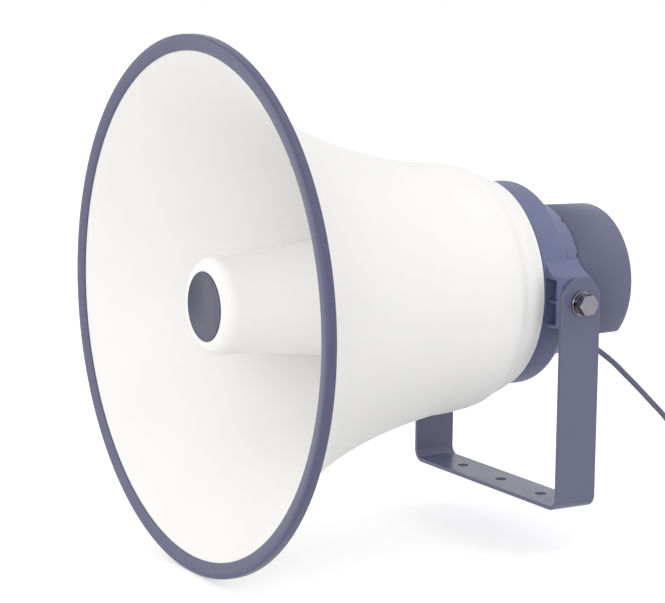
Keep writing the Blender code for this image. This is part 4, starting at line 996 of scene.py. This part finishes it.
class HORN_OT_casting(Operator):
    """Cast the base: its dome, its pocketed ears with bosses and ribs, its cable entry and its notches"""

    bl_idname = "horn.casting"
    bl_label = "Casting"

    def execute(self, context):
        sizes = context.scene.horn_sizes
        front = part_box("base_frame")[0].y
        seat = COVER_LOW.y - CLEAR
        rear = seat + 0.004
        face = BRACKET_HIGH.x - sizes.strip_thick - CLEAR
        flat = AXIS_HEIGHT - COVER_LOW.z
        cover = (COVER_HIGH.x - COVER_LOW.x) / 2
        rise = PIVOT_HEIGHT - AXIS_HEIGHT
        lip, dome, wall = sizes.lip_radius, sizes.dome_radius, sizes.ear_wall

        shape = casting_body(sizes, front, seat, rear)
        shape = cut(shape, placed(ear_walls(sizes, face), at=(0, 0, rise)), "UNION")
        pocket = block(
            (lip - 0.003, -0.022, -sizes.ear_half + wall), (face - sizes.ear_plate, 0.017, sizes.ear_half - wall)
        )
        shape = cut(shape, placed(mirrored(pocket), at=(0, 0, rise)))
        boss_radius, half_rib, sunk = 0.0115, 0.0015, lip - 0.007
        boss = placed(rod(boss_radius, 0.001 - face, -sunk, FEW_SIDES), 90)
        rib = block((sunk, -0.019, -half_rib), (face - 0.002, 0.020, half_rib))
        boss = cut(mirrored(boss), mirrored(rib), "UNION")
        shape = cut(shape, placed(boss, at=(0, 0, rise)), "UNION")

        chin, deep, chamfer, ahead, long = 0.026, 0.075, 0.008, 0.020, 0.049
        entry = [
            (-chin, -flat - CLEAR), (chin, -flat - CLEAR), (chin, chamfer - deep), (chin - chamfer, -deep),
            (chamfer - chin, -deep), (-chin, chamfer - deep),
        ]
        shape = cut(shape, pulled([(x, seat - ahead, z) for x, z in entry], (0, long, 0)), "UNION")
        past, ledge, sill, recess = 0.001, 0.0065, 0.004, 0.005
        shape = cut(shape, flatted(cover + CLEAR, seat, rear + past, flat + CLEAR))
        shape = cut(shape, flatted(cover - ledge, seat - recess, seat + past, flat - sill))
        pillar_radius = 0.0075
        for i in (1, 2, 3):
            across, height = middle_of(f"cover_post_{i}")
            pillar = rod(pillar_radius, front + 0.002, seat - 0.001, 32, centre=(across, height - AXIS_HEIGHT))
            shape = cut(shape, pillar, "UNION")

        bolt_way, cord_way, gland_way, half_notch = 0.0063, 0.004, 0.0078, 0.0025
        bores = mirrored(placed(rod(bolt_way, face - 0.020, face + past, FEW_SIDES), -90, "Z", (0, 0, rise)))
        across, height = middle_of("cable_gland")
        way = spun([
            (0, 0), (cord_way, 0), (cord_way, 0.050), (gland_way, 0.050), (gland_way, 0.063), (0, 0.063),
        ], FEW_SIDES, closed=False, height=0)
        joined(bores, placed(way, at=(across, 0, height - AXIS_HEIGHT)))
        for angle in (-35, 35, -65, 65):
            notch = block((-half_notch, rear - 0.003, dome - 0.008), (half_notch, rear + past, dome + 0.008))
            joined(bores, placed(notch, angle, "Y"))
        shape = cut(shape, bores)
        bmesh.ops.remove_doubles(shape, verts=shape.verts[:], dist=0.00002)
        placed(shape, at=(0, 0, AXIS_HEIGHT))
        made = piece("cast_base", shape, lightened_cast_coat(), "horn", ["base_frame"], angle=32)
        softened(made, sizes.cast_edge / 2, 2, 32)
        piece("rear_gasket", merged("horn_gasket"), soft_rubber(), "horn", ["horn_gasket"], angle=35)
        return {"FINISHED"}


class HORN_OT_finishes(Operator):
    """Give each node of the frame its finish"""

    bl_idname = "horn.finishes"
    bl_label = "Finishes"

    def execute(self, context):
        slots = {part["node"]: part["material_slot"] for part in frame["record"]["subparts"]}
        for name, node in frame["nodes"].items():
            finish = FINISHES[slots[name]]()
            node.data.materials.clear()
            node.data.materials.append(finish)
        return {"FINISHED"}


def cord_path(sizes):
    """The cord's points: its route to the floor, then the turns of its coil, which wind inwards and up."""
    route = eased(CORD_ROUTE, 4)
    middle = (COIL_LOW + COIL_HIGH) / 2
    radius = sizes.cord_radius
    outer = (COIL_HIGH.x - COIL_LOW.x) / 2 - radius
    low, rise, steps = route[-1][2], 2 * radius + 0.0001, 48
    found = []
    for i in range(int(sizes.cord_turns * steps) + 1):
        turn = i / steps
        reach = outer - 2 * radius * (smooth_step(turn, 0.85) - smooth_step(turn, 2.85))
        angle = 2 * math.pi * turn
        found.append((
            middle.x + reach * math.cos(angle), middle.y + reach * math.sin(angle),
            low + rise * smooth_step(turn, 1.85),
        ))
    lead = eased([route[-2], route[-1], (middle.x + outer - 0.0008, middle.y - 0.011, low), found[0]], 6)
    return route[:-2] + lead[:-1] + found


def smooth_step(turn, start, long=0.3):
    """0 before the start and 1 from long turns after it, with an even passage between."""
    share = min(1.0, max(0.0, (turn - start) / long))
    return share * share * (3 - 2 * share)


def tube(path, radius, sides=16):
    """A bmesh tube of one radius along the points, with closed ends."""
    shape = bmesh.new()
    path = [Vector(p) for p in path]
    rings = []
    side = Vector((1, 0, 0))
    for i, point in enumerate(path):
        ahead = (path[min(i + 1, len(path) - 1)] - path[max(i - 1, 0)]).normalized()
        side = (side - ahead * side.dot(ahead)).normalized()
        up = ahead.cross(side)
        angles = [2 * math.pi * k / sides for k in range(sides)]
        ring = [shape.verts.new(point + (side * math.cos(a) + up * math.sin(a)) * radius) for a in angles]
        rings.append(ring)
        if i:
            before = rings[-2]
            for k in range(sides):
                shape.faces.new((before[k], before[(k + 1) % sides], ring[(k + 1) % sides], ring[k]))
    shape.faces.new(rings[0][::-1])
    shape.faces.new(rings[-1])
    return shape


class HORN_OT_cord(Operator):
    """Lay the cord from its gland to its coil"""

    bl_idname = "horn.cord"
    bl_label = "Cord"

    def execute(self, context):
        sizes = context.scene.horn_sizes
        path = cord_path(sizes)
        cord = piece("speaker_cord", tube(path, sizes.cord_radius), cord_sheath(), None)
        end, before = Vector(path[-1]), Vector(path[-2])
        ahead = (end - before).normalized()
        side = ahead.cross(Vector((0, 0, 1))).normalized()
        apart, bend, rise, core_radius, tip_radius = 0.0011, 4, 0.1, 0.001, 0.0006
        cores, tips = bmesh.new(), bmesh.new()
        for way in (-1, 1):
            turned = [
                end + ahead * reach - side * (apart * way + reach * reach * bend) + Vector((0, 0, reach * rise))
                for reach in (-0.003, 0.0, 0.004, 0.008, 0.012, 0.014)
            ]
            joined(cores, tube(turned, core_radius, 12))
            tip = turned[-1] - turned[-2]
            joined(tips, tube([turned[-1] + tip * share for share in (-0.5, 1.2, 2.6)], tip_radius, 10))
        cores = piece("cord_cores", cores, core_sheath(), "bracket")
        tips = piece("cord_core_tips", tips, copper_wire(), "bracket")
        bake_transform(cord)
        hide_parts("cord", "cord_coil")
        return {"FINISHED"}


def turned_view(settings):
    """The camera's right, up and back directions for its azimuth, elevation and roll."""
    a, e = settings.azimuth, settings.elevation
    right = Vector((math.cos(a), math.sin(a), 0))
    back = Vector((math.sin(a) * math.cos(e), -math.cos(a) * math.cos(e), math.sin(e)))
    up = back.cross(right)
    c, s = math.cos(settings.roll), math.sin(settings.roll)
    return right * c + up * s, up * c - right * s, back


def lamp(name, place, strength, softness):
    """A lamp far away that shines from its place towards the pivot, as broad as its softness in degrees."""
    light = bpy.data.lights.new(name, "SUN")
    light.angle = math.radians(softness)
    light.energy = strength
    made = bpy.data.objects.new(name, light)
    made.location = place
    made.rotation_euler = (Vector((0, 0, PIVOT_HEIGHT)) - Vector(place)).to_track_quat("-Z", "Y").to_euler()
    bpy.context.scene.collection.objects.link(made)


def seen_directly(tree):
    """1 where a camera, glossy or transmission ray looks, and 0 for the light that falls on things."""
    path = tree.nodes.new("ShaderNodeLightPath")
    either = worked(tree, "MAXIMUM", path.outputs["Is Camera Ray"], path.outputs["Is Glossy Ray"])
    return worked(tree, "MAXIMUM", either, path.outputs["Is Transmission Ray"])


def studio(settings):
    """The world: even light on things, and pure white where it is looked at."""
    world = bpy.data.worlds.new("Studio")
    world.use_nodes = True
    tree, white = world.node_tree, (1, 1, 1, 1)
    tree.nodes.clear()
    even, pure = [
        added(tree, "Background", {"Color": white, "Strength": strength}).outputs["Background"]
        for strength in (settings.ambient, 1.0)
    ]
    chosen = added(tree, "MixShader", {"Fac": seen_directly(tree), 1: even, 2: pure})
    added(tree, "OutputWorld", {"Surface": chosen.outputs["Shader"]})
    return world


def pale_floor(settings):
    """The floor, which takes shadows and looks whiter than it is lit."""
    half, below = 8, 0.0002
    shape = bmesh.new()
    bmesh.ops.create_grid(shape, x_segments=1, y_segments=1, size=half)
    bmesh.ops.translate(shape, verts=shape.verts[:], vec=(0, 0, FLOOR - below))
    mesh = bpy.data.meshes.new("floor")
    shape.to_mesh(mesh)
    shape.free()
    made, tree, shader = new_material("Pale floor")
    grey = (*[settings.floor_shade] * 3, 1)
    lit = fed(tree, shader, {"Base Color": grey, "Roughness": 1.0, "Specular IOR Level": 0.0}).outputs["BSDF"]
    glow = added(tree, "Emission", {"Strength": settings.floor_glow})
    both = added(tree, "AddShader", {0: lit, 1: glow.outputs["Emission"]})
    chosen = added(tree, "MixShader", {"Fac": seen_directly(tree), 1: lit, 2: both.outputs["Shader"]})
    fed(tree, tree.nodes["Material Output"], {"Surface": chosen.outputs["Shader"]})
    mesh.materials.append(made)
    floor = bpy.data.objects.new("floor", mesh)
    bpy.context.scene.collection.objects.link(floor)
    return floor


class HORN_OT_stage(Operator):
    """Set the camera, the pale floor and the studio's soft light"""

    bl_idname = "horn.stage"
    bl_label = "Stage"

    def execute(self, context):
        scene = context.scene
        settings = scene.horn_stage
        scene.view_settings.view_transform = "Standard"

        right, up, back = turned_view(settings)
        lens = bpy.data.cameras.new("Camera")
        lens.sensor_fit = "HORIZONTAL"
        lens.lens = settings.focal_pixels / PICTURE_WIDE * lens.sensor_width
        lens.clip_start = 0.05
        camera = bpy.data.objects.new("Camera", lens)
        scene.collection.objects.link(camera)
        place = Vector((0, 0, PIVOT_HEIGHT)) - right * settings.beside - up * settings.above
        camera.matrix_world = (
            Matrix.Translation(place + back * settings.distance) @ Matrix((right, up, back)).transposed().to_4x4()
        )
        scene.camera = camera

        scene.world = studio(settings)
        pale_floor(settings)
        lamp("Left front lamp", (-1.8, -2.5, 0.25), settings.left_power, softness=50)
        lamp("Right front lamp", (1.9, -2.1, 0.9), settings.right_power, softness=26)
        lamp("Top lamp", (0.9, 1.5, 2.6), settings.top_power, softness=60)
        return {"FINISHED"}


class HORN_PT_panel(Panel):
    """Lists the horn's pieces, sizes and colours"""

    bl_label = "Horn Speaker"
    bl_idname = "HORN_PT_panel"
    bl_space_type = "VIEW_3D"
    bl_region_type = "UI"
    bl_category = "Horn Speaker"

    def draw(self, context):
        layout = self.layout
        for operator in OPERATORS:
            layout.operator(operator.bl_idname)
        for group in (context.scene.horn_sizes, context.scene.horn_colours, context.scene.horn_stage):
            rows = layout.box()
            for name in group.bl_rna.properties.keys():
                if name not in ("rna_type", "name"):
                    rows.prop(group, name)


SETTINGS = {"horn_sizes": HornSizes, "horn_colours": HornColours, "horn_stage": StageSettings}
OPERATORS = (
    HORN_OT_stage, HORN_OT_cord, HORN_OT_finishes, HORN_OT_bell, HORN_OT_edging, HORN_OT_reflector, HORN_OT_throat,
    HORN_OT_casting, HORN_OT_cover, HORN_OT_bracket, HORN_OT_pivots, HORN_OT_screws, HORN_OT_gland,
)


def register():
    for kind in (*SETTINGS.values(), *OPERATORS, HORN_PT_panel):
        bpy.utils.register_class(kind)
    for name, kind in SETTINGS.items():
        setattr(bpy.types.Scene, name, PointerProperty(type=kind))


def unregister():
    for name in SETTINGS:
        delattr(bpy.types.Scene, name)
    for kind in (HORN_PT_panel, *reversed(OPERATORS), *reversed(list(SETTINGS.values()))):
        bpy.utils.unregister_class(kind)


def main():
    register()
    bpy.ops.horn.stage()
    bpy.ops.horn.cord()
    bpy.ops.horn.finishes()
    bpy.ops.horn.bell()
    bpy.ops.horn.edging()
    bpy.ops.horn.reflector()
    bpy.ops.horn.throat()
    bpy.ops.horn.casting()
    bpy.ops.horn.cover()
    bpy.ops.horn.bracket()
    bpy.ops.horn.pivots()
    bpy.ops.horn.screws()
    bpy.ops.horn.gland()


if __name__ == "__main__":
    main()
